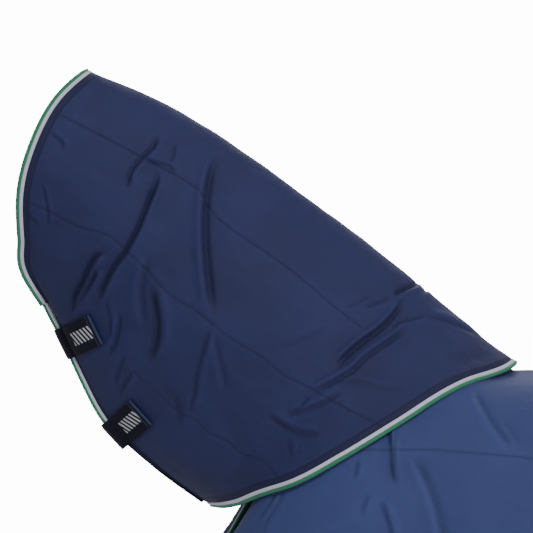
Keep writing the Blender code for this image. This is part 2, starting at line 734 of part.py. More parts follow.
def surcingle(name, off_x, near_x, drop):
    """Crossed belly strap: long part from the off side with a T-hook, slot plate on the near side."""
    off_end, near_end = sewn_end(off_x, OFF), sewn_end(near_x, NEAR)
    path = under_belly(off_end[1], near_end[1], drop)
    way = unit((near_end[1] - off_end[1]) * np.array((1, 1, 0)))
    across = np.cross((0, 0, 1), way)
    cut = CLOSURE_POINT
    pull = path[cut + 1] - path[cut - 1]
    place = Place(path[cut], pull, np.cross(pull, across))
    pivot = tuple(off_end[1])
    eye = round_bar(place, EYE_BACK + EYE_BAR / 2, -1, EYE_TURN)
    long = [off_end[0], *path[:cut - 2], *eye[::-1]]
    strap(f"{name}_strap", long, turning(across, len(long)), pivot=pivot)
    plate_place = Place(place.point(0, 0, PLATE_RISE), place.along, place.up)
    short = [near_end[0], *path[:cut + 2:-1], *round_bar(plate_place, RING_BAR, 1, EYE_TURN)]
    strap(f"{name}_plate_strap", short, turning(across, len(short)), pivot=pivot)
    t_hook(name, place, pivot)


def t_hook(name, place, pivot):
    """T-hook through a slotted plate: its head turns under the plate's slot."""
    eye = slotted_eye(-0.014)
    neck = box((-0.0145, -0.004, -SHANK_HALF), (0.011, 0.004, SHANK_HALF))
    back, front, half = T_HEAD
    head = box((back, -half, -SHANK_HALF), (front, half, SHANK_HALF))
    steel(f"{name}_t_hook", combined(eye, [neck, head], "UNION"), place, pivot)
    low, high = PLATE_RISE - PLATE_HALF_THICK, PLATE_RISE + PLATE_HALF_THICK
    plate = rounded_box((-0.006, -EYE_HALF, low), (RING_BAR + RING_WIRE, EYE_HALF, high), 0.0008)
    back, front, half = KEYHOLE
    keyhole = box((back, -half, -THROUGH), (front, half, THROUGH))
    strap_slot = box((0.023, -SLOT_HALF, -THROUGH), (RING_BAR - RING_WIRE, SLOT_HALF, THROUGH))
    plate = combined(plate, [keyhole, strap_slot], "DIFFERENCE")
    steel(f"{name}_slot_plate", plate, place, pivot)


def closed_between(name, upper, lower, look, pivot=(0, 0, 0)):
    """A solid between two grids of points that share their rows and columns."""
    rows, columns = upper.shape[:2]
    work = bmesh.new()
    grids = [[[work.verts.new(p) for p in row] for row in grid] for grid in (upper, lower)]
    for grid in grids:
        for i in range(rows - 1):
            for j in range(columns - 1):
                work.faces.new((grid[i][j], grid[i][j + 1], grid[i + 1][j + 1]))
                work.faces.new((grid[i][j], grid[i + 1][j + 1], grid[i + 1][j]))
    rim = [(0, j) for j in range(columns)] + [(i, columns - 1) for i in range(1, rows)]
    rim += [(rows - 1, j) for j in range(columns - 2, -1, -1)] + [(i, 0) for i in range(rows - 2, 0, -1)]
    for (i, j), (k, m) in zip(rim, rim[1:] + rim[:1]):
        work.faces.new((grids[0][i][j], grids[0][k][m], grids[1][k][m], grids[1][i][j]))
    mesh = bpy.data.meshes.new(name)
    work.to_mesh(mesh)
    work.free()
    point_outward(mesh)
    shade(mesh)
    return new_object(name, mesh, look, pivot)


def withers_pad():
    """Fleece strip under the spine, from the shoulder rearwards."""
    rows = slice(RUG_SHOULDER, RUG_SHOULDER + 4)
    spine, beside = RUG_GRID[rows, 0], RUG_GRID[rows, 0] * 0.4 + RUG_GRID[rows, 1] * 0.6
    depth = CLOTH + GAP * 2
    spine = spine - RUG_OUT[rows, 0] * depth
    beside = beside - RUG_OUT[rows, 1] * depth - np.array((0, 0, 0.0004))
    upper = np.stack((mirrored(beside, NEAR), spine, beside), axis=1)
    closed_between("withers_pad", upper, upper - np.array((0, 0, PAD)), FLEECE)


FLAP_HALF_WIDTH = 0.15
FLAP_THICK = 0.006
FLAP_ROOT_X = 0.955 * BACK_LENGTH
FLAP_LENGTH = 0.46
FLAP_CLEAR = 0.0060       # height over the rug, clear of the rear binding


def tail_flap():
    """Flap over the rear edge, hinged across the spine, hanging over the tail."""
    on_rug = np.array((0, 0.5, 1)) * (BACK_LENGTH - FLAP_ROOT_X)
    past_edge = np.array((0.030, 0.055, 0.074, 0.084, 0.086))
    drop = np.array((0.016, 0.060, 0.16, 0.27, 0.385)) * FLAP_LENGTH / 0.46
    columns = []
    for share in np.linspace(-1, 1, 9):
        y = share * FLAP_HALF_WIDTH
        place = np.interp(abs(y) / rug_half_width(BACK_LENGTH), rug_section(RUG_T)[0][:8], RUG_T[:8])
        lean = BACK_LENGTH * float(line_through((0, 0.3, 0.6, 1), (0, 0.022, 0.036, 0), place))
        z = rug_side(FLAP_ROOT_X + on_rug, place)[1]
        x = np.concatenate((FLAP_ROOT_X + on_rug * (1 + lean / on_rug[-1]), BACK_LENGTH + lean + past_edge))
        z = np.concatenate((z, z[-1] - drop))
        columns.append(np.stack((x, np.full_like(x, y), z + FLAP_CLEAR), -1))
    lower = np.stack(columns, axis=1)
    out = sheet_directions(lower)
    out[:, 0] = out[:, 1]
    pivot = (FLAP_ROOT_X, 0, float(lower[0, 4, 2]))
    closed_between("tail_flap", lower + out * FLAP_THICK, lower, RUG_CLOTH, pivot)
    half = edge_frame(lower[:, -1], out[:, -1], lower[:, -2])
    for side, word in ((NEAR, "near"), (OFF, "off")):
        edge = [mirrored(item, side) for item in half]
        tail_binding(f"tail_flap_binding_{word}", edge, pivot)
    tail_binding("tail_flap_binding_hem", edge_frame(lower[-1], out[-1], lower[-2]), pivot)


def tail_binding(name, frame, pivot):
    points, out, past = frame
    reach = (EDGE_GAP, EDGE_GAP + BINDING_WIDTH)
    band(name, points, mitred(points, past), out, reach, (-BINDING_PROUD, FLAP_THICK + BINDING_PROUD), BRAID, pivot)


# ---------------------------------------------------------------- hind leg straps

LEG_CLEAR = 0.0108        # the quarters taper across a strap's width


def leg_strap(word, side):
    """Loop inside the thigh: sewn in front, hooked behind to a ring on its own tab."""
    pivot_end = sewn_end(0.74 * BACK_LENGTH, side, LEG_CLEAR)
    rear_end = sewn_end(0.95 * BACK_LENGTH, side, LEG_CLEAR)
    low = (pivot_end[1] + rear_end[1]) / 2 + np.array((0, -side * 0.125, -0.17))
    ring_bar = rear_end[1] + np.array((-0.004, -side * 0.022, -0.050))
    pull = ring_bar - low
    place_at = ring_bar - unit(pull) * (RING_BAR + 0.010)
    flat = unit(np.cross(pull, (0, side, 0)))
    place = Place(place_at, pull, np.cross(flat, pull))
    eye = round_bar(place, EYE_BACK + EYE_BAR / 2, -1, EYE_TURN)
    w = np.linspace(0, 1, 9)[:, None]
    bottom = low + np.array((-0.04, 0, -0.05))
    sag = pivot_end[1] * (1 - w) ** 2 + bottom * 2 * w * (1 - w) + eye[0] * w ** 2
    path = [pivot_end[0], *sag[:-1], *eye]
    turn = turning(place.across, len(path))
    pivot = tuple(pivot_end[1])
    strap(f"leg_{word}_strap", path, turn, pivot=pivot)
    tab = [rear_end[0], rear_end[1], *round_bar(place, RING_BAR, 1, EYE_TURN)]
    turn = turning(place.across, len(tab), 2)
    strap(f"leg_{word}_ring_tab", tab, turn, pivot=pivot)
    ring(f"leg_{word}_ring", place, pivot)
    snap_hook(f"leg_{word}", place, pivot)


if __name__ == "__main__":
    rug_cloth()
    rug_bindings()
    neck_cloth()
    neck_bindings()
    crest_tape()
    withers_pad()
    for word, row in (("upper", 8), ("lower", 10)):
        chest_closure(f"chest_{word}", row, (0, 0, 0))
    for word, side in (("near", NEAR), ("off", OFF)):
        leg_strap(word, side)
    for number, place in enumerate(TAB_PLACES, 1):
        throat_tab(f"throat_tab_{number}", place)
    surcingle("surcingle_front", 0.16 * BACK_LENGTH, 0.40 * BACK_LENGTH, SURCINGLE_DROP)
    surcingle("surcingle_rear", 0.40 * BACK_LENGTH, 0.16 * BACK_LENGTH, SURCINGLE_DROP + 0.02)
    tail_flap()
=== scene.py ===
"""Looks of a turnout rug with its detachable neck cover, hung as on a horse.

Metres, +Z up.  The horse faces -X and its near side is -Y.  Every surface is worked out for
the off side, as a function of two parameters, and the near side is its mirror image with
folds of its own.
"""

import json
from math import cos, pi, radians, sin

import bmesh
import bpy
import numpy as np
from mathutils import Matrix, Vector


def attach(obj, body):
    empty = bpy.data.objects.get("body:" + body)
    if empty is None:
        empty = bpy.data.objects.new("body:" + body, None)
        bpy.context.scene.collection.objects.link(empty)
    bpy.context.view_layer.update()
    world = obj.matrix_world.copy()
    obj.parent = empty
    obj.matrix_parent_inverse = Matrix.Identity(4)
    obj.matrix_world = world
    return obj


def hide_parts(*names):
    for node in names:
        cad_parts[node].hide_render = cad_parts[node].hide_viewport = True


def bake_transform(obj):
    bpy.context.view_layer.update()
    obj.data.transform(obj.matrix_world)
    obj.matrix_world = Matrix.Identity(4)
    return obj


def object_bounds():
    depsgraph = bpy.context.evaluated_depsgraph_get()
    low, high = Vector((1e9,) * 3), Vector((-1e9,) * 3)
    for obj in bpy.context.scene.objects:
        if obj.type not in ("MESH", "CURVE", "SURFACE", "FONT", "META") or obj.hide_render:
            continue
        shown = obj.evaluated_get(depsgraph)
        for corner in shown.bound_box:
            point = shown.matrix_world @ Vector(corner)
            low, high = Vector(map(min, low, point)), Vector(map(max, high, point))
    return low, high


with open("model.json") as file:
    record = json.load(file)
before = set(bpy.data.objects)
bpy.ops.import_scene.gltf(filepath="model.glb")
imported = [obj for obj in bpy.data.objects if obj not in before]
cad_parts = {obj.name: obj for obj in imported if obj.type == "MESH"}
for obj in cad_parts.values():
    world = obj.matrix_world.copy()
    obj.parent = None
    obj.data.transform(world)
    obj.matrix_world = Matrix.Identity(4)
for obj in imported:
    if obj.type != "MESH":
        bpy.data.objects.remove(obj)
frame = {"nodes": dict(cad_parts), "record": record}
CAD_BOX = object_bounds()
NODES = frame["nodes"]

NEAR, OFF = -1, 1
SIDES = ((NEAR, "near"), (OFF, "off"))
MM = 0.001


# ------------------------------------------------------------- sizes, as in the pattern

BACK_LENGTH = 1.40
DROP = 0.80
HALF_WIDTH = 0.33
CHEST_REACH = 0.69
NECK_LENGTH = 0.943
NECK_DEPTH = 0.521
NECK_HALF_WIDTH = 0.155
NECK_SLOPE = radians(34.66)
THROAT_OPEN = 0.16
CLOTH = 0.0093
PAD = 0.008
RIDE = 0.0062
SPINE_BUILD = CLOTH + 0.0006 + PAD
WEB = 0.0025
STRAP_WIDTH = 0.038
TAB_WIDTH = 0.060
TAB_PLACES = (0.692, 0.516)
SURCINGLE_DROP = 0.20
CORNER = 0.5
FRONT_SHARE = 0.36
THROAT_END = 0.945
CREST_REAR = np.array((-0.105, 0.0, SPINE_BUILD + RIDE + CLOTH + 0.001))
UP_NECK = np.array((-cos(NECK_SLOPE), 0.0, sin(NECK_SLOPE)))
TO_THROAT = np.array((-sin(NECK_SLOPE), 0.0, -cos(NECK_SLOPE)))
MIRROR = np.array((1.0, -1.0, 1.0))


# ------------------------------------------------------------- lines and surfaces

def line_through(knots, values, at):
    """Cubic Hermite line: each piece eases from knot to knot with the mean slope at each knot."""
    knots = np.asarray(knots, float)
    values = np.asarray(values, float)
    slopes = np.gradient(values, knots, axis=0)
    at = np.clip(np.asarray(at, float), knots[0], knots[-1])
    i = np.clip(np.searchsorted(knots, at, side="right") - 1, 0, len(knots) - 2)
    step = knots[i + 1] - knots[i]
    w = (at - knots[i]) / step
    if values.ndim > 1:
        shape = w.shape + (1,) * (values.ndim - 1)
        w, step = w.reshape(shape), step.reshape(shape)
    rise = (1 - w) ** 2 * w * step * slopes[i] - w ** 2 * (1 - w) * step * slopes[i + 1]
    return values[i] * (1 + 2 * w) * (1 - w) ** 2 + values[i + 1] * w ** 2 * (3 - 2 * w) + rise


def unit(vectors):
    """Vectors over their lengths."""
    return vectors / np.maximum(np.linalg.norm(vectors, axis=-1, keepdims=True), 1e-9)


def ease(low, high, value):
    """0 below low, 1 above high, and 3w^2 - 2w^3 between them."""
    w = np.clip((value - low) / (high - low), 0, 1)
    return w * w * (3 - 2 * w)


def rug_front_line(t):
    """Neckline from withers to chest while t < CORNER, then the front edge down to the hem."""
    up = np.minimum(t, CORNER) / CORNER
    down = np.maximum(t - CORNER, 0) / (1 - CORNER)
    knots = (0, 0.2, 0.4, 0.6, 0.8, 1)
    reach = line_through(knots, (0.380, 0.515, 0.660, 0.775, 0.884, 1.0), up)
    x = -CHEST_REACH * (reach + 0.02 * np.sin(pi * down) - 0.045 * down ** 2)
    y = HALF_WIDTH * line_through(knots, (0, 0.26, 0.40, 0.435, 0.30, 0.062), up)
    z = DROP * line_through(knots, (0.150, 0.084, -0.012, -0.140, -0.315, -0.468), up)
    return x, y, z + (-DROP - z) * down


def rug_top(x):
    """Height of the spine at x."""
    places = np.array((-0.12, 0, 0.22, 0.50, 0.75, 0.89, 1.0)) * BACK_LENGTH
    return SPINE_BUILD + line_through(places, (0.004, 0, -0.030, -0.028, -0.004, -0.024, -0.080), x)


def rug_half_width(x):
    """Half width of the barrel at x."""
    places = np.array((-0.27, 0, 0.3, 0.6, 0.85, 1.03)) * BACK_LENGTH
    return HALF_WIDTH * line_through(places, (0.82, 0.91, 1.0, 1.0, 0.92, 0.80), x)


SECTION_PLACES = (0, 0.15, 0.3, 0.45, 0.6, 0.8, 1.0)
SECTION_ACROSS = (0, 0.46, 0.80, 0.97, 1.0, 0.985, 0.95)
SECTION_DOWN = (0, 0.035, 0.145, 0.31, 0.50, 0.75, 1.0)


def rug_side(x, t):
    """The barrel's section at x: half width and height, from spine (t 0) to hem (t 1)."""
    top = rug_top(x)
    across = line_through(SECTION_PLACES, SECTION_ACROSS, t)
    return rug_half_width(x) * across, top - (top + DROP) * line_through(SECTION_PLACES, SECTION_DOWN, t)


def rug_surface(s, t):
    """Rug's outer face: a quarter turn from the front line to the shoulder, then straight to the tail."""
    s, t = np.broadcast_arrays(np.asarray(s, float), np.asarray(t, float))
    front_x, front_y, front_z = rug_front_line(t)
    shoulder_x = BACK_LENGTH * line_through((0, 0.5, 1), (-0.072, -0.235, -0.27), t)
    rear_x = BACK_LENGTH * line_through((0, 0.3, 0.6, 1), (1.0, 1.022, 1.036, 1.0), t)
    turn = np.clip(s / FRONT_SHARE, 0, 1) * pi / 2
    back = np.clip((s - FRONT_SHARE) / (1 - FRONT_SHARE), 0, 1)
    x = shoulder_x + (rear_x - shoulder_x) * back
    y, z = rug_side(x, t)
    x = np.where(back > 0, x, front_x + (shoulder_x - front_x) * (1 - np.cos(turn)))
    y = np.where(back > 0, y, front_y + (y - front_y) * np.sin(turn))
    low = np.clip(t / 0.3, 0, 1)
    fall = (1 - low) * (1 - np.cos(turn)) + low * np.sin(turn)
    z = np.where(back > 0, z, front_z + (z - front_z) * fall)
    return np.stack((x, y, z), axis=-1)


def neck_surface_free(u, v):
    """Neck cover before it meets the rug: u runs head to withers and v crest to throat.

    Across, it is a half ellipse over the crest, then 1 - 0.84(2 share - 1)^1.8 down the flaps.
    """
    u, v = np.broadcast_arrays(np.asarray(u, float), np.asarray(v, float))
    angle = pi * v
    share = (1 - np.cos(angle)) / 2
    front = NECK_LENGTH * line_through(
        (0, 0.2, 0.42, 0.63, 0.8, 0.93, 1), (1.0, 1.013, 1.0, 0.968, 0.920, 0.876, 0.812), share)
    rear = NECK_LENGTH * line_through(
        (0, 0.2, 0.37, 0.555, 0.737, 0.9, 1), (0.010, 0.098, 0.150, 0.199, 0.246, 0.302, 0.350), share)
    along = front + (rear - front) * u
    crest = NECK_DEPTH * line_through(
        (0, 0.12, 0.25, 0.5, 0.75, 1), (-0.004, -0.050, -0.071, -0.068, -0.045, 0), u)
    throat = NECK_DEPTH * line_through(
        (0, 0.15, 0.3, 0.45, 0.75, 1), (0.765, 0.838, 0.916, 0.984, 1.030, 1.034), u)
    depth = crest + (throat - crest) * share
    width = NECK_HALF_WIDTH * line_through((0, 0.3, 0.6, 1), (0.64, 0.70, 0.82, 1.08), u)
    middle = CREST_REAR + along[..., None] * UP_NECK + depth[..., None] * TO_THROAT
    round_crest = np.sin(angle) * (1 - 0.2 * np.cos(angle) * np.abs(np.cos(angle)))
    flat_flap = 1 - (1 - THROAT_OPEN) * np.maximum(2 * share - 1, 0) ** 1.8
    flap = flat_flap + (round_crest - flat_flap) * ease(0.5, 1, u)
    middle[..., 1] = width * np.where(v < 0.5, round_crest, flap)
    return middle


def grid_out(points):
    """Outward direction at each point of a grid: the cross product of its slopes, level on the spine."""
    out = unit(np.cross(np.gradient(points, axis=0), np.gradient(points, axis=1)))
    if np.abs(points[:, 0, 1]).max() < 0.002:
        out[:, 0, 1] = 0
    return unit(out)


def spread(coarse_u, coarse_v, values, u, v):
    """Values on a coarse grid carried smoothly to a fine one, along one way and then the other."""
    down = line_through(coarse_u, values, u)
    return np.moveaxis(line_through(coarse_v, np.moveaxis(down, 1, 0), v), 0, 1)


SHOULDER_S, SHOULDER_T = np.meshgrid(np.linspace(0, 0.62, 64), np.linspace(0, 0.86, 64), indexing="ij")
SHOULDER = rug_surface(SHOULDER_S, SHOULDER_T)
SHOULDER_OUT = grid_out(SHOULDER).reshape(-1, 3)
SHOULDER = SHOULDER.reshape(-1, 3)
CLEAR_OF_RUG = CLOTH + 0.0012 + RIDE


def lift_over_rug(points, rounds):
    """Moves each point out of the rug's way: sideways where the rug is steep, up on its top."""
    flat = points.reshape(-1, 3).copy()
    for _ in range(rounds):
        distance = ((flat[:, None, :] - SHOULDER[None, :, :]) ** 2).sum(-1)
        nearest = distance.argmin(1)
        out = SHOULDER_OUT[nearest]
        height = ((flat - SHOULDER[nearest]) * out).sum(-1)
        aside = np.sqrt(np.maximum(distance.min(1) - height ** 2, 0))
        push = (height < CLEAR_OF_RUG) & (aside < 0.03) & (height > -0.12)
        upward = np.clip((0.75 - out[:, 1]) / 0.35, 0, 1)
        way = unit(out * np.stack((upward, np.ones_like(upward), upward), -1))
        rise = (CLEAR_OF_RUG - height) / np.maximum((way * out).sum(-1), 0.4)
        flat += np.where(push, rise, 0)[:, None] * way
    return flat.reshape(points.shape)


def evened(move, rounds):
    """Each move averaged half and half with its four neighbours."""
    for _ in range(rounds):
        padded = np.pad(move, ((1, 1), (1, 1), (0, 0)), mode="edge")
        near = padded[:-2, 1:-1] + padded[2:, 1:-1] + padded[1:-1, :-2] + padded[1:-1, 2:]
        move = 0.5 * move + 0.125 * near
    return move


def fitted_neck(u, v):
    """Neck cover over the rug: its lift is found on a coarse grid, evened out, and spread over a fine one."""
    coarse_u = np.linspace(0, 1, 19)
    coarse_v = np.concatenate((np.linspace(0, 0.8, 11), (0.86, 0.91, THROAT_END)))
    free = neck_surface_free(*np.meshgrid(coarse_u, coarse_v, indexing="ij"))
    move = lift_over_rug(free, 4) - free
    for _ in range(6):
        move = lift_over_rug(free + evened(move, 2), 4) - free
    move[:, 0, 1] = 0
    move = spread(coarse_u, coarse_v, move, u, v)
    return neck_surface_free(u[:, None], v[None, :]) + move


# ------------------------------------------------------------- folds, puckers and seams

def on_line(points, line, count=28):
    """Signed distance of each point from a smooth line, and the metres along it of the nearest place.

    points and line are (x, z) pairs; the sign is the side of the line that a point is on.
    """
    line = np.asarray(line, float)
    reach = np.concatenate(((0,), np.cumsum(np.linalg.norm(np.diff(line, axis=0), axis=1))))
    at = np.linspace(0, reach[-1], count)
    smooth = line_through(reach, line, at)
    start, leg = smooth[:-1], np.diff(smooth, axis=0)
    long = np.linalg.norm(leg, axis=1)
    way = leg / long[:, None]
    rel = points[:, None, :] - start[None]
    along = np.clip((rel * way).sum(-1), 0, long)
    gap = rel - along[..., None] * way
    distance = np.linalg.norm(gap, axis=-1)
    best = distance.argmin(1)
    rows = np.arange(len(points))
    nearest = distance[rows, best]
    turn = way[best, 0] * rel[rows, best, 1] - way[best, 1] * rel[rows, best, 0]
    lengths = np.concatenate(((0,), np.cumsum(long)))
    return np.where(turn < 0, -nearest, nearest), lengths[best] + along[rows, best], lengths[-1]


FOLD_GAIN = 1.2            # on every fold's height


def folded(plane, folds, scale=1.0, shift=(0.0, 0.0)):
    """Height of the folds at each (x, z), and the painted fold shade there: a groove with a ridge beside it.

    Groove exp(-(d/w)^2), ridge exp(-((d - 2.1w)/1.7w)^2), a low shelf exp(-((d + 3w)/4w)^2) on the
    groove's other side, all fading out at the fold's two ends.
    """
    flat = plane.reshape(-1, 2) - np.array(shift)
    height = np.zeros(len(flat))
    fold_shade = np.zeros(len(flat))
    for line, depth, width, side in folds:
        line = np.asarray(line)
        wide = width * MM
        inside = ((flat > line.min(0) - 8 * wide) & (flat < line.max(0) + 8 * wide)).all(1)
        if not inside.any():
            continue
        off, along, whole = on_line(flat[inside], line)
        ends = ease(0, 0.20, along / whole) * ease(0, 0.20, 1 - along / whole)
        groove = np.exp(-(off / wide) ** 2)
        ridge = np.exp(-((off - side * 2.1 * wide) / (1.7 * wide)) ** 2)
        shelf = np.exp(-((off + side * 3 * wide) / (4 * wide)) ** 2)
        height[inside] += FOLD_GAIN * depth * MM * scale * ends * (0.75 * ridge - groove - 0.22 * shelf)
        # Painted shade: dark along each groove, and for folds 5 mm deep or more a wider painted shade beside
        # it too.
        dark = ends * np.minimum(depth / 6, 1) * np.exp(-(off / (0.6 * wide)) ** 2)
        beside = 0.5 * ends * (depth >= 5) * np.exp(-(off / (2.2 * wide)) ** 2)
        fold_shade[inside] = np.maximum(fold_shade[inside], np.maximum(dark, beside))
    shape = plane.shape[:-1]
    return height.reshape(shape), fold_shade.reshape(shape)


def seamed(plane, seams, reach=0.016):
    """Seam groove with small gathers beside it, and where each point is across and along its nearest seam."""
    flat = plane.reshape(-1, 2)
    across = np.full(len(flat), 1.0)
    along = np.zeros(len(flat))
    gathers = np.zeros(len(flat))
    for number, line in enumerate(seams):
        off, far, _ = on_line(flat, line, 40)
        wave = np.sin(2 * pi * far / 0.023 + 3 * np.sin(2 * pi * far / 0.19 + number))
        strength = 0.35 + 0.65 * np.sin(2 * pi * far / 0.11 + 2 * number) ** 2
        gathers += wave * strength * np.exp(-(np.abs(off) / reach)) * 0.45 * MM
        closer = np.abs(off) < np.abs(across)
        across = np.where(closer, off, across)
        along = np.where(closer, far, along)
    groove = -1.3 * MM * np.exp(-(across / 0.0032) ** 2) + 0.9 * MM * np.exp(-(np.abs(across) / 0.012) ** 2)
    shape = plane.shape[:-1]
    return (groove + gathers).reshape(shape), across.reshape(shape), along.reshape(shape)


def rumple(points, size, height, seed):
    """Slack of the cloth: six crossed sine waves of nearly the same length, each bent by the next."""
    turn = np.random.default_rng(seed)
    total = np.zeros(points.shape[:-1])
    bend = np.zeros_like(total)
    for _ in range(6):
        way = unit(turn.normal(size=3)) * 2 * pi / (size * turn.uniform(0.7, 1.5))
        wave = np.sin(points @ way + bend + turn.uniform(0, 2 * pi))
        bend = 1.2 * wave
        total += wave
    return total * height / 3


# ------------------------------------------------------------- putting shapes into meshes

def new_piece(name, vertices, faces, look, uv=None, marks=None):
    """A piece from arrays: vertices, quads, the flat-cloth place of each vertex, and named marks."""
    mesh = bpy.data.meshes.new(name)
    mesh.vertices.add(len(vertices))
    mesh.vertices.foreach_set("co", np.asarray(vertices, np.float32).ravel())
    corners = np.concatenate([np.asarray(face, np.int32).ravel() for face in faces])
    sizes = np.concatenate([np.full(len(face), np.shape(face)[1], np.int32) for face in faces])
    mesh.loops.add(len(corners))
    mesh.loops.foreach_set("vertex_index", corners)
    mesh.polygons.add(len(sizes))
    starts = np.concatenate(((0,), np.cumsum(sizes)[:-1])).astype(np.int32)
    mesh.polygons.foreach_set("loop_start", starts)
    mesh.update(calc_edges=True)
    mesh.polygons.foreach_set("use_smooth", np.ones(len(sizes), bool))
    if uv is not None:
        layer = mesh.uv_layers.new(name="cut")
        layer.data.foreach_set("uv", np.asarray(uv, np.float32)[corners].ravel())
    for word, values in (marks or {}).items():
        mark = mesh.attributes.new(word, "FLOAT", "POINT")
        mark.data.foreach_set("value", np.asarray(values, np.float32).ravel())
    mesh.validate()
    mesh.materials.append(look)
    obj = bpy.data.objects.new(name, mesh)
    bpy.context.scene.collection.objects.link(obj)
    return obj


def grid_faces(rows, columns, side=OFF, start=0):
    """Quads of a grid of points, facing out on the given side."""
    corner = np.arange(rows * columns).reshape(rows, columns) + start
    a, b, c, d = corner[:-1, :-1], corner[:-1, 1:], corner[1:, 1:], corner[1:, :-1]
    order = (a, d, c, b) if side == OFF else (a, b, c, d)
    return np.stack(order, -1).reshape(-1, 4)


def two_faced(rows, columns):
    """Quads of two grids of points, one behind the other, and of the rim that joins them."""
    behind = rows * columns
    index = np.arange(behind).reshape(rows, columns)
    rim = np.concatenate((index[0], index[1:, -1], index[-1, -2::-1], index[-2:0:-1, 0]))
    after = np.roll(rim, -1)
    joined = np.stack((rim, after, after + behind, rim + behind), -1)
    return [grid_faces(rows, columns), grid_faces(rows, columns, NEAR, behind), joined]


def cut_places(points):
    """Where each point was on the flat cloth: arc lengths along the grid's two ways."""
    rows, columns = points.shape[:2]
    row_steps = np.linalg.norm(np.diff(points, axis=0), axis=-1)
    column_steps = np.linalg.norm(np.diff(points, axis=1), axis=-1)
    down = np.concatenate((np.zeros((1, columns)), np.cumsum(row_steps, 0)))
    over = np.concatenate((np.zeros((rows, 1)), np.cumsum(column_steps, 1)), 1)
    return down, over


def carried(name, path, across, out, profile, look, around=None, closed=False, marks=None):
    """A profile of (across, out) pairs carried along a path, with flat ends unless the path closes."""
    path, across, out = (np.asarray(item, float) for item in (path, across, out))
    profile = np.asarray(profile, float)
    rings = path[:, None] + across[:, None] * profile[None, :, :1] + out[:, None] * profile[None, :, 1:]
    count, sides = rings.shape[:2]
    index = np.arange(count * sides).reshape(count, sides)
    here = index if closed else index[:-1]
    there = np.roll(index, -1, 0) if closed else index[1:]
    faces = [np.stack((here, np.roll(here, -1, 1), np.roll(there, -1, 1), there), -1).reshape(-1, 4)]
    if not closed:
        faces += [index[:1, ::-1], index[-1:]]
    far = np.concatenate(((0,), np.cumsum(np.linalg.norm(np.diff(path, axis=0), axis=1))))
    if around is None:
        around = np.concatenate(((0,), np.cumsum(np.linalg.norm(np.diff(profile, axis=0), axis=1))))
    uv = np.stack(np.broadcast_arrays(far[:, None], np.asarray(around)[None, :]), -1).reshape(-1, 2)
    obj = new_piece(name, rings.reshape(-1, 3), faces, look, uv, marks)
    work = bmesh.new()
    work.from_mesh(obj.data)
    if work.calc_volume(signed=True) < 0:
        bmesh.ops.reverse_faces(work, faces=work.faces)
    work.to_mesh(obj.data)
    work.free()
    return obj


def evenly(path, across, spacing):
    """Points at even steps on a smooth line through a path, with the strip's width direction at each."""
    path, across = np.asarray(path, float), np.asarray(across, float)
    reach = np.concatenate(((0,), np.cumsum(np.linalg.norm(np.diff(path, axis=0), axis=1))))
    at = np.linspace(0, reach[-1], max(int(reach[-1] / spacing), 4) + 1)
    return line_through(reach, path, at), unit(line_through(reach, np.broadcast_to(across, path.shape), at))


# ------------------------------------------------------------- finishes

class Number:
    """A shader socket that takes part in sums: each operation on it adds its Math node."""

    def __init__(self, finish, socket):
        self.finish = finish
        self.socket = socket

    def math(self, operation, *values):
        return self.finish.node("Math", {"operation": operation}, dict(enumerate(values)))

    def __add__(self, other):
        return self.math("ADD", self, other)

    def __sub__(self, other):
        return self.math("SUBTRACT", self, other)

    def __rsub__(self, other):
        return self.math("SUBTRACT", other, self)

    def __mul__(self, other):
        return self.math("MULTIPLY", self, other)

    def __truediv__(self, other):
        return self.math("DIVIDE", self, other)

    def __lt__(self, other):
        return self.math("LESS_THAN", self, other)

    def __gt__(self, other):
        return self.math("GREATER_THAN", self, other)

    __radd__ = __add__
    __rmul__ = __mul__

    def wave(self, length):
        """0 to 1 and back over each length."""
        return self.math("SINE", self * (2 * pi / length)) * 0.5 + 0.5

    def share(self, length):
        """How far through its current length this is, from 0 to 1."""
        return self.math("FRACT", self / length)

    def size(self):
        return self.math("ABSOLUTE", self)

    def step(self, low, high):
        """0 at low and 1 at high, eased between them."""
        settings = {"interpolation_type": "SMOOTHSTEP"}
        return self.finish.node("MapRange", settings, {"Value": self, "From Min": low, "From Max": high})


class Finish:
    """A material and the shader nodes that draw it."""

    def __init__(self, name, **even):
        self.material = bpy.data.materials.new(name)
        self.material.use_nodes = True
        self.tree = self.material.node_tree
        self.shader = self.tree.nodes["Principled BSDF"]
        for socket, value in even.items():
            self.shader.inputs[socket.replace("_", " ")].default_value = value

    def node(self, kind, settings=None, values=None, output=0):
        """Adds a node: its settings first, then the value or link of each socket."""
        made = self.tree.nodes.new("ShaderNode" + kind)
        for key, value in (settings or {}).items():
            setattr(made, key, value)
        for socket, value in (values or {}).items():
            self.feed(made.inputs[socket], value)
        return Number(self, made.outputs[output])

    def feed(self, socket, value):
        if isinstance(value, Number):
            self.tree.links.new(value.socket, socket)
        else:
            socket.default_value = value

    def mark(self, name):
        return self.node("Attribute", {"attribute_name": name}, output=2)

    def cut(self):
        """Metres along and across the flat cloth."""
        uv = self.node("UVMap", {"uv_map": "cut"})
        return [self.node("SeparateXYZ", None, {0: uv}, output) for output in (0, 1)]

    def place(self):
        return self.node("TexCoord", output=3)

    def noise(self, scale, detail=2.0, where=None, rough=0.5):
        values = {"Vector": where or self.place(), "Scale": scale, "Detail": detail, "Roughness": rough}
        return self.node("TexNoise", None, values)

    def mix(self, share, first, second):
        """A colour that share of the way from the first to the second."""
        colours = {6: self.colour(first), 7: self.colour(second), 0: share}
        return self.node("Mix", {"data_type": "RGBA"}, colours, output=2)

    @staticmethod
    def colour(value):
        return value if isinstance(value, Number) else (*value, 1.0)

    def bump(self, height, depth, under=None):
        values = {"Height": height, "Distance": depth, "Strength": 1.0}
        if under is not None:
            values["Normal"] = under
        return self.node("Bump", None, values)

    def made(self, **sockets):
        for socket, value in sockets.items():
            self.feed(self.shader.inputs[socket.replace("_", " ")], value)
        return self.material


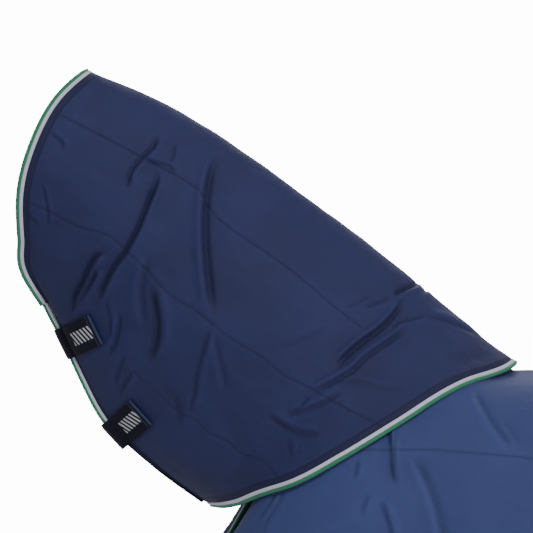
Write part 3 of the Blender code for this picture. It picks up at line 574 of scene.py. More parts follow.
def stitches(along, across, at, pitch=0.0042, thick=0.0006):
    """A row of stitches: 1 on the thread, where the distance across is within half a thread of its line."""
    line = 1 - (across - at).size().step(thick * 0.5, thick)
    thread = 1 - (along.share(pitch) - 0.5).size().step(0.30, 0.36)
    return line * thread


def woven_cloth(name, colour, pale, thread, roughness=0.62, sheen=0.03):
    """Coated plain-weave polyester: crossing threads, soft patches of wear, its sewn lines, and painted light
    on its folds: paler on their ridges, with painted shade in and beside their grooves.
    """
    finish = Finish(name, Roughness=roughness, Sheen_Weight=sheen, Sheen_Roughness=0.4)
    finish.shader.inputs["Specular IOR Level"].default_value = 0.25
    along, across = finish.cut()
    weave = along.wave(0.0011) * across.wave(0.0011) + (1 - along.wave(0.0011)) * (1 - across.wave(0.0011))
    slub = finish.noise(900, 1)
    patch = finish.noise(7, 3)
    creases = finish.noise(38, 4, rough=0.6)
    # Painted highlight and shade: the colour is paler where the cloth's folds stand up and darker where they
    # sink.
    crest = finish.mark("crest").step(-0.0035, 0.0055)
    seam = stitches(finish.mark("seam_along"), finish.mark("seam_off"), 0.0022)
    seam = seam + stitches(finish.mark("seam_along"), finish.mark("seam_off"), -0.0022)
    border = finish.mark("border")
    border_along = finish.mark("border_along")
    tape = 1 - border.step(0.0144, 0.0152)
    rows = stitches(border_along, border, 0.0082) + stitches(border_along, border, 0.0134)
    # Patches, threads and slubs are the cloth's own tone; the share from the fold height is painted light.
    shade = finish.mix(patch * 0.45 + crest * 0.40 + weave * 0.10 + slub * 0.10, colour, pale)
    # Painted shade in and beside the folds: the colour drops to a third there.
    shade = finish.mix(finish.mark("fold_shade") * 0.6, shade, tuple(c * 0.32 for c in colour))
    shade = finish.mix(tape * 0.75, shade, tuple(c * f for c, f in zip(colour, (0.62, 0.52, 0.75))))
    shade = finish.mix(seam * 0.35 + rows * 0.6, shade, thread)
    groove = 1 - finish.mark("seam_off").size().step(0.0002, 0.0010)
    shade = finish.mix(groove * finish.noise(14, 2) * 0.6, shade, tuple(c * 0.4 for c in colour))
    ribs = border_along.wave(0.0016) * tape
    normal = finish.bump(creases * 0.8 + finish.noise(120, 3) * 0.25, 0.0011)
    normal = finish.bump(weave + slub * 0.5 + ribs, 0.00016, normal)
    normal = finish.bump(tape + rows * 0.5 + seam * 0.3 - groove, 0.0006, normal)
    return finish.made(Base_Color=shade, Roughness=patch * 0.14 + (roughness - 0.07), Normal=normal)


def lining_cloth():
    """Smooth nylon lining with a fine ripstop grid and quilting lines across it."""
    finish = Finish("lining", Sheen_Weight=0.05)
    along, across = finish.cut()
    grid = (along.share(0.006) < 0.07) + (across.share(0.006) < 0.07)
    quilt = stitches(across, along.share(0.12) * 0.12, 0.06)
    patch = finish.noise(9, 3)
    shade = finish.mix(patch * 0.7 + grid * 0.2, (0.010, 0.013, 0.036), (0.020, 0.026, 0.062))
    shade = finish.mix(quilt, shade, (0.05, 0.06, 0.11))
    valley = (along.share(0.12) - 0.5).size().step(0.0, 0.12)
    normal = finish.bump(finish.noise(45, 3) * 0.6 + valley, 0.0016)
    normal = finish.bump(grid, 0.00012, normal)
    return finish.made(Base_Color=shade, Roughness=patch * 0.15 + 0.36, Normal=normal)


def silver_braid():
    """Flat ribbed braid, folded over the edge: close ribs across it, a stitch row by each lip."""
    finish = Finish("braid", Sheen_Weight=0.25, Sheen_Roughness=0.3)
    along, across = finish.cut()
    ribs = along.wave(0.0017)
    wale = across.wave(0.0021)
    wear = finish.noise(60, 3)
    shade = finish.mix(ribs * 0.45 + wale * 0.2 + wear * 0.35, (0.33, 0.34, 0.44), (0.66, 0.67, 0.78))
    row = stitches(along, across, 0.0022) + stitches(along, across, 0.0205)
    shade = finish.mix(row * 0.6, shade, (0.30, 0.31, 0.42))
    normal = finish.bump(ribs + wale * 0.6 - row * 0.8, 0.0003)
    return finish.made(Base_Color=shade, Roughness=0.72 - wear * 0.1, Normal=normal)


def green_cord():
    """Woven covering of a piping cord: strands that wind round it two ways."""
    finish = Finish("piping", Sheen_Weight=0.2, Sheen_Roughness=0.35)
    along, around = finish.cut()
    right = (along + around * 1.1).wave(0.0026)
    left = (along - around * 1.1).wave(0.0026)
    wear = finish.noise(45, 3)
    shade = finish.mix(right * left * 0.6 + wear * 0.4, (0.006, 0.115, 0.052), (0.018, 0.270, 0.140))
    normal = finish.bump(right + left, 0.00035)
    return finish.made(Base_Color=shade, Roughness=0.62 + wear * 0.15, Normal=normal)


def webbing(name, dark, light, motif=False, roughness=0.72):
    """Ribbed webbing: herringbone rows, firm selvedges, stitch rows at its ends."""
    finish = Finish(name, Sheen_Weight=0.02, Sheen_Roughness=0.4)
    finish.shader.inputs["Specular IOR Level"].default_value = 0.15
    along, across = finish.cut()
    zig = (along + (across.share(0.008) - 0.5).size() * 0.008).wave(0.0018)
    cords = across.wave(0.0020)
    wear = finish.noise(70, 3)
    shade = finish.mix(zig * 0.35 + cords * 0.2 + wear * 0.35, dark, light)
    end = finish.mark("end")
    rows = stitches(across, end, 0.003) + stitches(across, end, 0.009)
    shade = finish.mix(rows * 0.8, shade, (0.10, 0.13, 0.25))
    height = zig * 0.5 + cords - rows * 0.6
    if motif:
        bars = woven_bars(across, end)
        shade = finish.mix(bars, shade, finish.mix(zig * 0.6, (0.30, 0.31, 0.36), (0.52, 0.53, 0.58)))
        height = height + bars * 0.8
        fold = 1 - end.step(0.0014, 0.0020)
        shade = finish.mix(fold * 0.8, shade, (0.040, 0.058, 0.15))
    normal = finish.bump(height, 0.00035)
    return finish.made(Base_Color=shade, Roughness=roughness - wear * 0.1, Normal=normal)


def woven_bars(across, end):
    """Motif of the closure tabs: a row of slanting bars along the middle."""
    lean = (end + across * 0.35).share(0.0082)
    bar = 1 - (lean - 0.5).size().step(0.22, 0.27)
    inside = 1 - (across - 0.0300).size().step(0.0122, 0.0128)
    within = 1 - (end - 0.0330).size().step(0.0235, 0.0240)
    return bar * inside * within


def bright_steel():
    """Nickel-plated fittings: fine scratches, dulled patches where straps rub."""
    finish = Finish("fittings", Metallic=1.0)
    rub = finish.noise(130, 4, rough=0.65)
    dull = finish.noise(26, 2)
    shade = finish.mix(dull, (0.46, 0.45, 0.43), (0.68, 0.67, 0.64))
    roughness = rub * 0.18 + dull * 0.16 + 0.14
    return finish.made(Base_Color=shade, Roughness=roughness, Normal=finish.bump(rub, 0.00008))


def cream_fleece():
    """Deep pile: tufts of two sizes over cream wool."""
    finish = Finish("fleece", Sheen_Weight=0.5, Sheen_Roughness=0.6)
    tuft = finish.noise(160, 5, rough=0.7)
    clump = finish.noise(45, 3)
    shade = finish.mix(tuft * 0.6 + clump * 0.4, (0.42, 0.37, 0.28), (0.78, 0.73, 0.62))
    normal = finish.bump(tuft, 0.003, finish.bump(clump, 0.004))
    return finish.made(Base_Color=shade, Roughness=0.93 - tuft * 0.05, Normal=normal)


NECK_LOOK = woven_cloth(
    "neck_navy", (0.0072, 0.0096, 0.0440), (0.0165, 0.0218, 0.0960), (0.006, 0.007, 0.034))
RUG_LOOK = woven_cloth(
    "rug_navy", (0.0215, 0.0325, 0.1120), (0.0390, 0.0570, 0.1780), (0.013, 0.018, 0.070), 0.64)
LINING_LOOK = lining_cloth()
BRAID_LOOK = silver_braid()
CORD_LOOK = green_cord()
TAB_LOOK = webbing("tab_webbing", (0.0018, 0.0020, 0.0070), (0.0060, 0.0068, 0.0190), motif=True)
STRAP_LOOK = webbing("strap_webbing", (0.0060, 0.0070, 0.0170), (0.0170, 0.0200, 0.0450))
TAPE_LOOK = webbing("edge_tape", (0.0060, 0.0075, 0.0260), (0.0120, 0.0150, 0.0500))
STEEL_LOOK = bright_steel()
FLEECE_LOOK = cream_fleece()


# ------------------------------------------------------------- the folds of each side
# Lines are (x, z) in metres; then groove depth and half width in mm, and the side its ridge is on.

NECK_FOLDS = (
    (((-0.761, 0.462), (-0.768, 0.438), (-0.786, 0.419), (-0.799, 0.405), (-0.810, 0.387),
      (-0.815, 0.368), (-0.818, 0.354)), 4.5, 4, 1),
    (((-0.799, 0.405), (-0.781, 0.408), (-0.762, 0.404), (-0.741, 0.399), (-0.728, 0.383)), 2.4, 3.2, 1),
    (((-0.730, 0.444), (-0.733, 0.422), (-0.739, 0.405)), 2.0, 3.2, 1),
    (((-0.778, 0.387), (-0.767, 0.391), (-0.762, 0.381), (-0.766, 0.362), (-0.775, 0.341),
      (-0.785, 0.314), (-0.798, 0.282), (-0.812, 0.256), (-0.817, 0.245), (-0.835, 0.223),
      (-0.849, 0.200), (-0.863, 0.171), (-0.876, 0.149), (-0.885, 0.132)), 6, 4.2, 1),
    (((-0.848, 0.240), (-0.868, 0.238), (-0.884, 0.218), (-0.900, 0.186), (-0.915, 0.159),
      (-0.921, 0.131), (-0.924, 0.114)), 6.5, 4.5, 1),
    (((-0.868, 0.216), (-0.887, 0.180), (-0.904, 0.154), (-0.917, 0.133)), 5, 3.6, 1),
    (((-0.644, 0.430), (-0.660, 0.400), (-0.667, 0.368), (-0.672, 0.325), (-0.673, 0.282),
      (-0.671, 0.240), (-0.667, 0.197), (-0.662, 0.155), (-0.658, 0.117)), 6, 6, -1),
    (((-0.960, 0.464), (-0.946, 0.451), (-0.933, 0.438), (-0.938, 0.430)), 2.2, 2.8, 1),
    (((-0.972, 0.368), (-0.965, 0.341), (-0.961, 0.314), (-0.962, 0.289)), 1.6, 2.8, 1),
    (((-1.000, 0.309), (-0.978, 0.292)), 1.5, 3, 1),
    (((-0.774, 0.240), (-0.781, 0.214), (-0.788, 0.189), (-0.790, 0.149), (-0.783, 0.102)), 2.5, 6, -1),
    (((-0.773, 0.184), (-0.766, 0.146), (-0.761, 0.113), (-0.764, 0.079), (-0.774, 0.051),
      (-0.788, 0.041)), 5.5, 7, 1),
    (((-0.829, 0.131), (-0.834, 0.098), (-0.839, 0.078), (-0.854, 0.049)), 3.5, 4, -1),
    (((-0.822, 0.054), (-0.838, 0.014), (-0.843, -0.005)), 2.5, 4, -1),
    (((-0.857, 0.156), (-0.850, 0.123), (-0.847, 0.086)), 2.5, 3.5, 1),
    (((-0.807, 0.024), (-0.822, 0.001), (-0.834, -0.026)), 2.5, 4, 1),
    (((-0.660, 0.115), (-0.673, 0.080), (-0.688, 0.032), (-0.695, -0.015), (-0.697, -0.045),
      (-0.681, -0.052)), 2.6, 5, 1),
    (((-0.656, 0.103), (-0.649, 0.052), (-0.639, 0.009), (-0.637, -0.014)), 2.0, 5, -1),
    (((-0.563, -0.049), (-0.545, -0.060), (-0.521, -0.073), (-0.484, -0.077), (-0.463, -0.075)), 3.2, 5, 1),
    (((-0.483, -0.012), (-0.511, -0.040), (-0.531, -0.049)), 2, 4, 1),
    (((-0.524, -0.086), (-0.517, -0.121)), 1.5, 4, 1),
    (((-0.506, -0.099), (-0.504, -0.117)), 1.2, 3, 1),
    (((-0.274, 0.184), (-0.304, 0.174), (-0.330, 0.163)), 6, 4, 1),
    (((-0.312, 0.166), (-0.315, 0.148), (-0.331, 0.126), (-0.358, 0.102), (-0.385, 0.084),
      (-0.409, 0.066), (-0.433, 0.041), (-0.440, 0.029)), 5.5, 4, -1),
    (((-0.296, 0.112), (-0.322, 0.093), (-0.351, 0.075), (-0.381, 0.056), (-0.405, 0.034),
      (-0.436, 0.015), (-0.467, -0.001), (-0.491, -0.014)), 4.2, 3.8, -1),
    (((-0.265, 0.126), (-0.296, 0.120), (-0.321, 0.116), (-0.335, 0.103)), 2.6, 3.4, 1),
    (((-0.425, -0.003), (-0.453, -0.021), (-0.491, -0.038), (-0.529, -0.051)), 3.0, 4, -1),
    (((-0.331, 0.160), (-0.364, 0.149), (-0.384, 0.142)), 2.2, 3.4, 1),
    (((-0.373, 0.164), (-0.399, 0.150), (-0.420, 0.140)), 1.3, 3.4, 1),
    (((-0.267, 0.124), (-0.236, 0.118), (-0.206, 0.105), (-0.172, 0.088)), 2.4, 3.4, 1),
    (((-0.436, 0.015), (-0.396, 0.013), (-0.358, 0.004), (-0.320, 0.002)), 1.8, 3.4, 1),
    (((-0.538, 0.071), (-0.495, 0.085), (-0.452, 0.107)), 1.2, 6, 1),
    (((-0.756, 0.011), (-0.728, -0.026), (-0.720, -0.082)), 2, 9, 1),
)

NECK_SEAMS = (
    ((-0.985, 0.503), (-0.946, 0.495), (-0.903, 0.475), (-0.830, 0.438), (-0.788, 0.416),
      (-0.733, 0.387), (-0.684, 0.352), (-0.660, 0.314), (-0.623, 0.283), (-0.574, 0.250),
      (-0.526, 0.217), (-0.490, 0.187), (-0.441, 0.145), (-0.392, 0.109)),
    ((-1.012, 0.340), (-0.955, 0.314), (-0.906, 0.289), (-0.846, 0.271), (-0.819, 0.247),
      (-0.792, 0.223), (-0.730, 0.160), (-0.697, 0.142), (-0.663, 0.115), (-0.630, 0.090),
      (-0.597, 0.070), (-0.563, 0.049), (-0.535, 0.024), (-0.502, 0.009), (-0.443, -0.022),
      (-0.360, -0.062)),
    ((-0.805, 0.021), (-0.780, 0.002), (-0.759, -0.017), (-0.741, -0.037), (-0.712, -0.055),
      (-0.695, -0.060), (-0.668, -0.085), (-0.630, -0.101), (-0.606, -0.121), (-0.577, -0.126),
      (-0.545, -0.150)),
)

RUG_FOLDS = (
    (((-0.345, -0.063), (-0.342, -0.105), (-0.341, -0.136), (-0.335, -0.166)), 6, 3.6, 1),
    (((-0.331, -0.063), (-0.335, -0.111), (-0.331, -0.147), (-0.333, -0.166)), 4, 3.2, -1),
    (((-0.310, -0.109), (-0.291, -0.130), (-0.276, -0.162), (-0.263, -0.199), (-0.253, -0.244),
      (-0.243, -0.290)), 4.5, 6, -1),
    (((-0.186, -0.003), (-0.170, -0.037), (-0.151, -0.068), (-0.126, -0.098)), 3.2, 6, -1),
    (((-0.401, -0.122), (-0.408, -0.154)), 2, 4, 1),
    (((-0.383, -0.180), (-0.397, -0.211)), 2, 4, 1),
    (((-0.364, -0.188), (-0.353, -0.216), (-0.344, -0.250), (-0.341, -0.291)), 3.2, 4.5, 1),
    (((-0.543, -0.179), (-0.561, -0.211), (-0.578, -0.236)), 2.5, 3.5, 1),
    (((-0.529, -0.172), (-0.540, -0.197), (-0.559, -0.230), (-0.570, -0.262)), 1.6, 4, 1),
    (((-0.140, -0.052), (-0.123, -0.078), (-0.114, -0.093)), 1.6, 4, -1),
)

RUG_SEAMS = (
    ((-0.520, -0.135), (-0.431, -0.107), (-0.393, -0.106), (-0.351, -0.102), (-0.313, -0.104),
      (-0.257, -0.102), (-0.203, -0.108), (-0.148, -0.111), (-0.093, -0.116), (0.10, -0.135),
      (0.50, -0.160), (0.95, -0.160), (1.25, -0.175), (1.43, -0.215)),
    ((1.10, -0.030), (1.17, -0.100), (1.22, -0.170)),
)


# ------------------------------------------------------------- the rug

RUG_S = np.concatenate((np.linspace(0, FRONT_SHARE, 150), np.linspace(FRONT_SHARE, 1, 250)[1:]))
RUG_T = np.linspace(0, 1, 190)


def rug_relief(points, side):
    """How far the rug's cloth stands off its smooth shape, with its seam marks and its painted fold shade.

    Folds at the shoulder, slow upright waves that grow towards the hem, and the slack between seams.
    """
    plane = points[..., ::2]
    x, z = plane[..., 0], plane[..., 1]
    near = side == NEAR
    shift = (0.0, 0.0) if near else (0.03, -0.02)
    height, fold_shade = folded(plane, RUG_FOLDS, 1.0 if near else 0.8, shift)
    seam, across, along = seamed(plane, RUG_SEAMS)
    falling = ease(0.05, -DROP, z) ** 1.5
    waves = np.sin(2 * pi * x / 0.235 + 1.3 * np.sin(2.1 * x + side) + side * 0.9)
    waves = waves + 0.5 * np.sin(2 * pi * x / 0.131 + side * 2.0)
    height = height + 0.0045 * falling * waves * ease(-0.62, -0.35, x)
    height = height + rumple(points * MIRROR if near else points, 0.16, 0.0011, 5 + side)
    height = height + rumple(points, 0.055, 0.00032, 9 + side)
    return height + seam, across, along, fold_shade


def met_at_spine(relief, points, side):
    """A side's relief, brought to the mean of both sides' along the spine, where the halves are joined."""
    mine, other = relief(points, side), relief(points, -side)
    apart = 0.5 + 0.5 * ease(0, 0.05, np.abs(points[..., 1]))
    return (mine[0] * apart + other[0] * (1 - apart), *mine[1:])


def borders(points):
    """Distance to the front, rear and lower edges of a grid, and the metres along the nearest of them."""
    down, over = cut_places(points)
    to_front, to_rear, to_low = down, down[-1] - down, over[:, -1:] - over
    off = np.minimum(np.minimum(to_front, to_rear), to_low)
    return off, np.where(to_low <= off, down, over)


def base_reach(points):
    """Metres of cloth between each point and the front edge."""
    return cut_places(points)[0]


def grown(points, reach):
    """The grid with its outermost lines moved past the edge by each edge's reach."""
    points = points.copy()
    points[0] += unit(points[0] - points[2]) * reach["front"]
    points[-1] += unit(points[-1] - points[-3]) * reach["rear"]
    points[:, -1] += unit(points[:, -1] - points[:, -3]) * reach["low"]
    return points


PLAIN_REACH = 0.0035
CORDED_REACH = 0.0078
THROAT_REACH = 0.0022


def cloth_half(name, points, base, look, side, marks):
    """One half of a cloth, over a grid of points, closed up to the spine."""
    points = points.copy()
    points[:, 0, 1] = 0
    down, over = cut_places(base)
    uv = np.stack((down, over), -1).reshape(-1, 2)
    flip = np.array((1, side, 1))
    faces = [grid_faces(*points.shape[:2], side)]
    return new_piece(name, (points * flip).reshape(-1, 3), faces, look, uv, marks)


def rug_half(side, word):
    """Outer cloth and lining of one side of the rug."""
    base = rug_surface(*np.meshgrid(RUG_S, RUG_T, indexing="ij"))
    out = grid_out(base)
    height, across, along, fold_shade = met_at_spine(rug_relief, base, side)
    off, border_along = borders(base)
    height = height * ease(0, 0.02, off)
    outer = base + out * height[..., None]
    # The crest mark (the cloth's height) gives a painted highlight on fold ridges and painted shade in the
    # grooves; the last mark is painted shade in and beside the folds.
    marks = {"crest": height, "seam_off": across, "seam_along": along, "fold_shade": fold_shade}
    corded = 1 - ease(CORNER - 0.02, CORNER, RUG_T)
    by_neckline = corded * (1 - ease(0.02, 0.06, base_reach(base)))
    marks["border"] = off + PLAIN_REACH + (CORDED_REACH - PLAIN_REACH) * by_neckline
    marks["border_along"] = border_along
    reach = PLAIN_REACH + (CORDED_REACH - PLAIN_REACH) * corded[:, None]
    edged = grown(outer, {"front": reach, "rear": PLAIN_REACH, "low": PLAIN_REACH})
    shell = cloth_half(f"rug_outer_{word}", edged, base, RUG_LOOK, side, marks)
    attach(shell, "rug")
    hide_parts(f"rug_shell_{word}")
    depth = 0.003 + (CLOTH - 0.0035) * ease(0, 0.04, off) - np.maximum(height * 0.4, -0.0004)
    inner = (base - out * depth[..., None])[::2, ::2]
    lining = cloth_half(f"rug_inner_{word}", inner, base[::2, ::2], LINING_LOOK, side, None)
    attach(lining, "rug")
    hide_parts(f"rug_lining_{word}")
    return outer, out


def edge_frame(line, out, inner):
    """An edge's points, the directions out of its cloth, and those past its edge."""
    travel = unit(np.gradient(line, axis=0))
    past = unit(np.cross(travel, out))
    past = past * np.where((past * (inner - line)).sum(-1, keepdims=True) > 0, -1, 1)
    return line, out, past


def joined_halves(near, off):
    """One edge from the near hem over the spine to the off hem."""
    near = [item * MIRROR for item in near]
    line, out, past = (np.concatenate((one[:0:-1], other)) for one, other in zip(near, off))
    middle = len(near[0]) - 1
    line[middle, 1] = 0
    out[middle] = unit(out[middle] * np.array((1, 0, 1)))
    past[middle] = unit(past[middle] * np.array((1, 0, 1)))
    return line, out, past


def calmed(values, rounds=6):
    """A line of values, each averaged with its two neighbours, with its ends kept."""
    values = values.copy()
    for _ in range(rounds):
        values[1:-1] = 0.5 * values[1:-1] + 0.25 * (values[:-2] + values[2:])
    return values


BRAID_PROFILE = np.array((
    (-0.0020, 0.0006), (0.0030, 0.0012), (0.0080, 0.0013), (0.0115, 0.0009),
    (0.0132, -0.0004), (0.0138, -0.0022), (0.0132, -0.0040), (0.0115, -0.0053),
    (0.0080, -0.0057), (0.0030, -0.0056), (-0.0020, -0.0050), (-0.0022, -0.0022)))
BRAID_FOLD = 0.0138         # the profile's outermost place
NARROW_BRAID = 0.46        # share of the plain edges' braid width, where a cord runs outside it
CORD_RADIUS = 0.0036


def braid(name, edge, body, node, reach=PLAIN_REACH, wide=1.0, look=BRAID_LOOK):
    """Silver braid folded round a cloth edge that reaches past its seam line."""
    line, out, past = edge
    out, past = unit(calmed(out)), unit(calmed(past))
    profile = BRAID_PROFILE * np.array((wide, 1.0))
    obj = carried(name, line + past * reach, past, out, profile, look)
    if body == "tail_flap":
        follow_flap(obj)
    else:
        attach(obj, body)
    if node:
        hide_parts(node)
    return obj


def cord(name, edge, body, node=None, reach=CORDED_REACH, wide=NARROW_BRAID, radius=CORD_RADIUS):
    """Green piping cord along the outer fold of the braid."""
    line, out, past = edge
    out, past = unit(calmed(out)), unit(calmed(past))
    turn = np.linspace(0, 2 * pi, 11)[:-1]
    profile = np.stack((np.cos(turn), np.sin(turn)), -1) * radius
    path = line + past * (reach + BRAID_FOLD * wide + radius * 0.75) - out * 0.0010
    obj = carried(name, path, past, out, profile, CORD_LOOK, turn * radius)
    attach(obj, body)
    if node:
        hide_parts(node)
    return obj


def rug_edges(near, off):
    """The braid and piping of the neckline, and the braid of front, hem and rear."""
    corner = np.searchsorted(RUG_T, CORNER)
    halves = []
    for points, out in (near, off):
        halves.append(edge_frame(points[0], out[0], points[2]))
    neckline = joined_halves(*[[item[:corner + 1] for item in half] for half in halves])
    braid("rug_neckline_braid", neckline, "rug", "rug_neckline_binding", CORDED_REACH, NARROW_BRAID)
    cord("rug_neckline_cord", neckline, "rug", "rug_neckline_piping")
    for (points, out), half, (side, word) in zip((near, off), halves, SIDES):
        flip = np.array((1, side, 1))
        front = [item[corner:] * flip for item in half]
        braid(f"rug_front_braid_{word}", front, "rug", f"rug_front_binding_{word}")
        hem = [item * flip for item in edge_frame(points[:, -1], out[:, -1], points[:, -3])]
        braid(f"rug_hem_braid_{word}", hem, "rug", f"rug_hem_binding_{word}")
    rear = joined_halves(*[edge_frame(points[-1], out[-1], points[-3]) for points, out in (near, off)])
    braid("rug_rear_braid", rear, "rug", "rug_rear_binding")


# ------------------------------------------------------------- the neck cover

NECK_U = np.linspace(0, 1, 300)
NECK_V = np.linspace(0, THROAT_END, 190)
NECK_BASE = fitted_neck(NECK_U, NECK_V)


def neck_relief(points, side):
    """How far the neck cover's cloth stands off its smooth shape, with its seam marks and its painted fold
    shade.
    """
    plane = points[..., ::2]
    near = side == NEAR
    shift = (0.0, 0.0) if near else (0.02, -0.012)
    height, fold_shade = folded(plane, NECK_FOLDS, 1.0 if near else 0.85, shift)
    seam, across, along = seamed(plane, NECK_SEAMS)
    height = height + rumple(points * np.array((1, side, 1)), 0.15, 0.0013, 21 + side)
    height = height + rumple(points, 0.050, 0.00042, 25 + side)
    return (height + seam) * under_tabs(points), across, along, fold_shade


def under_tabs(points):
    """0.15 where a closure tab presses the cloth flat, and 1 well away from both."""
    along = (points - CREST_REAR) @ UP_NECK
    low = ease(0.60, 0.70, (points - CREST_REAR) @ TO_THROAT / NECK_DEPTH)
    flat = np.zeros_like(along)
    for place in TAB_PLACES:
        flat = np.maximum(flat, 1 - ease(0.026, 0.046, np.abs(along - place)))
    return 1 - 0.85 * flat * low


def neck_half(side, word):
    """Outer cloth and lining of one side of the neck cover."""
    base, out = NECK_BASE, grid_out(NECK_BASE)
    height, across, along, fold_shade = met_at_spine(neck_relief, base, side)
    off, border_along = borders(base)
    height = height * (0.25 + 0.75 * ease(0, 0.03, off))
    outer = base + out * height[..., None]
    # The crest mark (the cloth's height) gives a painted highlight on fold ridges and painted shade in the
    # grooves; the last mark is painted shade in and beside the folds.
    marks = {"crest": height, "seam_off": across, "seam_along": along, "fold_shade": fold_shade}
    marks.update({"border": off + CORDED_REACH, "border_along": border_along})
    edged = outer.copy()
    edged[0] += flat_edge(outer[0], out[0], outer[2])[2] * CORDED_REACH
    edged[-1] += flat_edge(outer[-1], out[-1], outer[-3])[2] * CORDED_REACH
    edged[1:-1, -1] += flat_edge(outer[:, -1], out[:, -1], outer[:, -3])[2][1:-1] * THROAT_REACH
    shell = cloth_half(f"neck_outer_{word}", edged, base, NECK_LOOK, side, marks)
    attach(shell, "neck_cover")
    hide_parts(f"neck_shell_{word}")
    depth = 0.003 + (CLOTH - 0.0035) * ease(0, 0.035, off)
    calm = base + out * (evened(height[..., None], 12) - depth[..., None])
    lining = cloth_half(f"neck_inner_{word}", calm[::2, ::2], base[::2, ::2], LINING_LOOK, side, None)
    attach(lining, "neck_cover")
    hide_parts(f"neck_lining_{word}")
    return outer, out


def flat_edge(line, out, inner):
    """An edge of the neck cover, whose braid keeps nearly upright where the flap turns in.

    Past the edge is then the perpendicular of the edge's own line as seen from the side, away from
    the middle of the flap.
    """
    line, out, past = edge_frame(line, out, inner)
    travel = unit(np.gradient(line, axis=0))
    upright = np.stack((-travel[:, 2], np.zeros(len(line)), travel[:, 0]), -1)
    length = np.linalg.norm(upright, axis=-1, keepdims=True)
    upright = upright / np.maximum(length, 1e-6)
    middle = NECK_BASE.mean(axis=(0, 1))
    upright = upright * np.where((upright * (line - middle)).sum(-1, keepdims=True) < 0, -1, 1)
    share = 0.85 * ease(0.45, 0.8, length)
    past = unit(past * (1 - share) + upright * share)
    out = out * (1 - share) + share * np.array((0.0, 1.0, 0.0))
    return line, unit(out - past * (out * past).sum(-1, keepdims=True)), past


def neck_edges(near, off):
    """Braid and piping right round the cover, and a narrower pair down each side of the throat."""
    for word, row, inner in (("front", 0, 2), ("rear", -1, -3)):
        halves = [flat_edge(points[row], out[row], points[inner]) for points, out in (near, off)]
        edge = joined_halves(*halves)
        braid(f"neck_{word}_braid", edge, "neck_cover", f"neck_{word}_binding", CORDED_REACH, NARROW_BRAID)
        cord(f"neck_{word}_cord", edge, "neck_cover", f"neck_{word}_piping")
    for (points, out), (side, word) in zip((near, off), SIDES):
        flip = np.array((1, side, 1))
        edge = [item * flip for item in flat_edge(points[:, -1], out[:, -1], points[:, -3])]
        along = (edge[0] - CREST_REAR) @ UP_NECK
        corded = int((along > TAB_PLACES[1]).sum())
        upper, lower = [item[:corded] for item in edge], [item[corded - 1:] for item in edge]
        node = f"neck_throat_binding_{word}"
        narrowing = np.linspace(0, 1, len(upper[0]))[:, None]
        reach = CORDED_REACH * 0.7 + (THROAT_REACH - CORDED_REACH * 0.7) * ease(0, 0.5, narrowing)
        braid(f"neck_throat_braid_{word}", upper, "neck_cover", node, reach, 0.38)
        cord(f"neck_throat_cord_{word}", upper, "neck_cover", None, reach, 0.38, 0.0030)
        braid(f"neck_throat_tape_{word}", lower, "neck_cover", node, THROAT_REACH, 0.34, TAPE_LOOK)


# ------------------------------------------------------------- webbing straps

def strap(name, path, across, body, node, width=STRAP_WIDTH, look=STRAP_LOOK, spacing=0.0025, thick=WEB):
    """Flat webbing along a smooth path: a rectangle with rounded selvedges carried along it."""
    path, across = evenly(path, across, spacing)
    travel = unit(np.gradient(path, axis=0))
    out = unit(np.cross(travel, across))
    across = unit(np.cross(out, travel))
    half, face = width / 2, thick / 2
    places = np.linspace(-half + face, half - face, 9)
    profile = [(place, -face) for place in places]
    profile += [(half - face * 0.3, -face * 0.7), (half, 0), (half - face * 0.3, face * 0.7)]
    profile += [(place, face) for place in places[::-1]]
    profile += [(-half + face * 0.3, face * 0.7), (-half, 0), (-half + face * 0.3, -face * 0.7)]
    profile = np.array(profile)
    far = np.concatenate(((0,), np.cumsum(np.linalg.norm(np.diff(path, axis=0), axis=1))))
    end = np.minimum(far, far[-1] - far)
    marks = {"end": np.broadcast_to(end[:, None], (len(path), len(profile)))}
    obj = carried(name, path, across, out, profile, look, profile[:, 0] + half, marks=marks)
    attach(obj, body)
    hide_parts(node)
    return obj


class Place:
    """A local frame: along the pull, across it, and up off the cloth."""

    def __init__(self, at, along, up):
        self.at = np.asarray(at, float)
        self.along = unit(np.asarray(along, float))
        up = np.asarray(up, float)
        self.up = unit(up - self.along * (up @ self.along))
        self.across = np.cross(self.up, self.along)

    def point(self, p, q=0.0, n=0.0):
        return self.at + self.along * p + self.across * q + self.up * n


TURN = 0.0015 + 0.0009 + WEB / 2
EYE = -0.030 + 0.003 / 2
RING_BAR = 0.033
HOOK_HEIGHT = 0.0075
PLATE_RISE = 0.00305


def round_bar(place, bar, side, far):
    """Webbing's middle line round a bar: in on one face, round it, back on the other."""
    return [place.point(bar + side * far, 0, -TURN), place.point(bar, 0, -TURN),
            place.point(bar - side * TURN * 0.75, 0, -TURN * 0.75), place.point(bar - side * TURN, 0, 0),
            place.point(bar - side * TURN * 0.75, 0, TURN * 0.75), place.point(bar, 0, TURN),
            place.point(bar + side * far, 0, TURN)]


COARSE_S = np.linspace(0, FRONT_SHARE, 10)
COARSE_T = np.concatenate((np.linspace(0, CORNER, 8), np.linspace(CORNER, 1, 5)[1:]))
CHEST_GRID = rug_surface(*np.meshgrid(COARSE_S, COARSE_T, indexing="ij"))
CHEST_OUT = grid_out(CHEST_GRID)


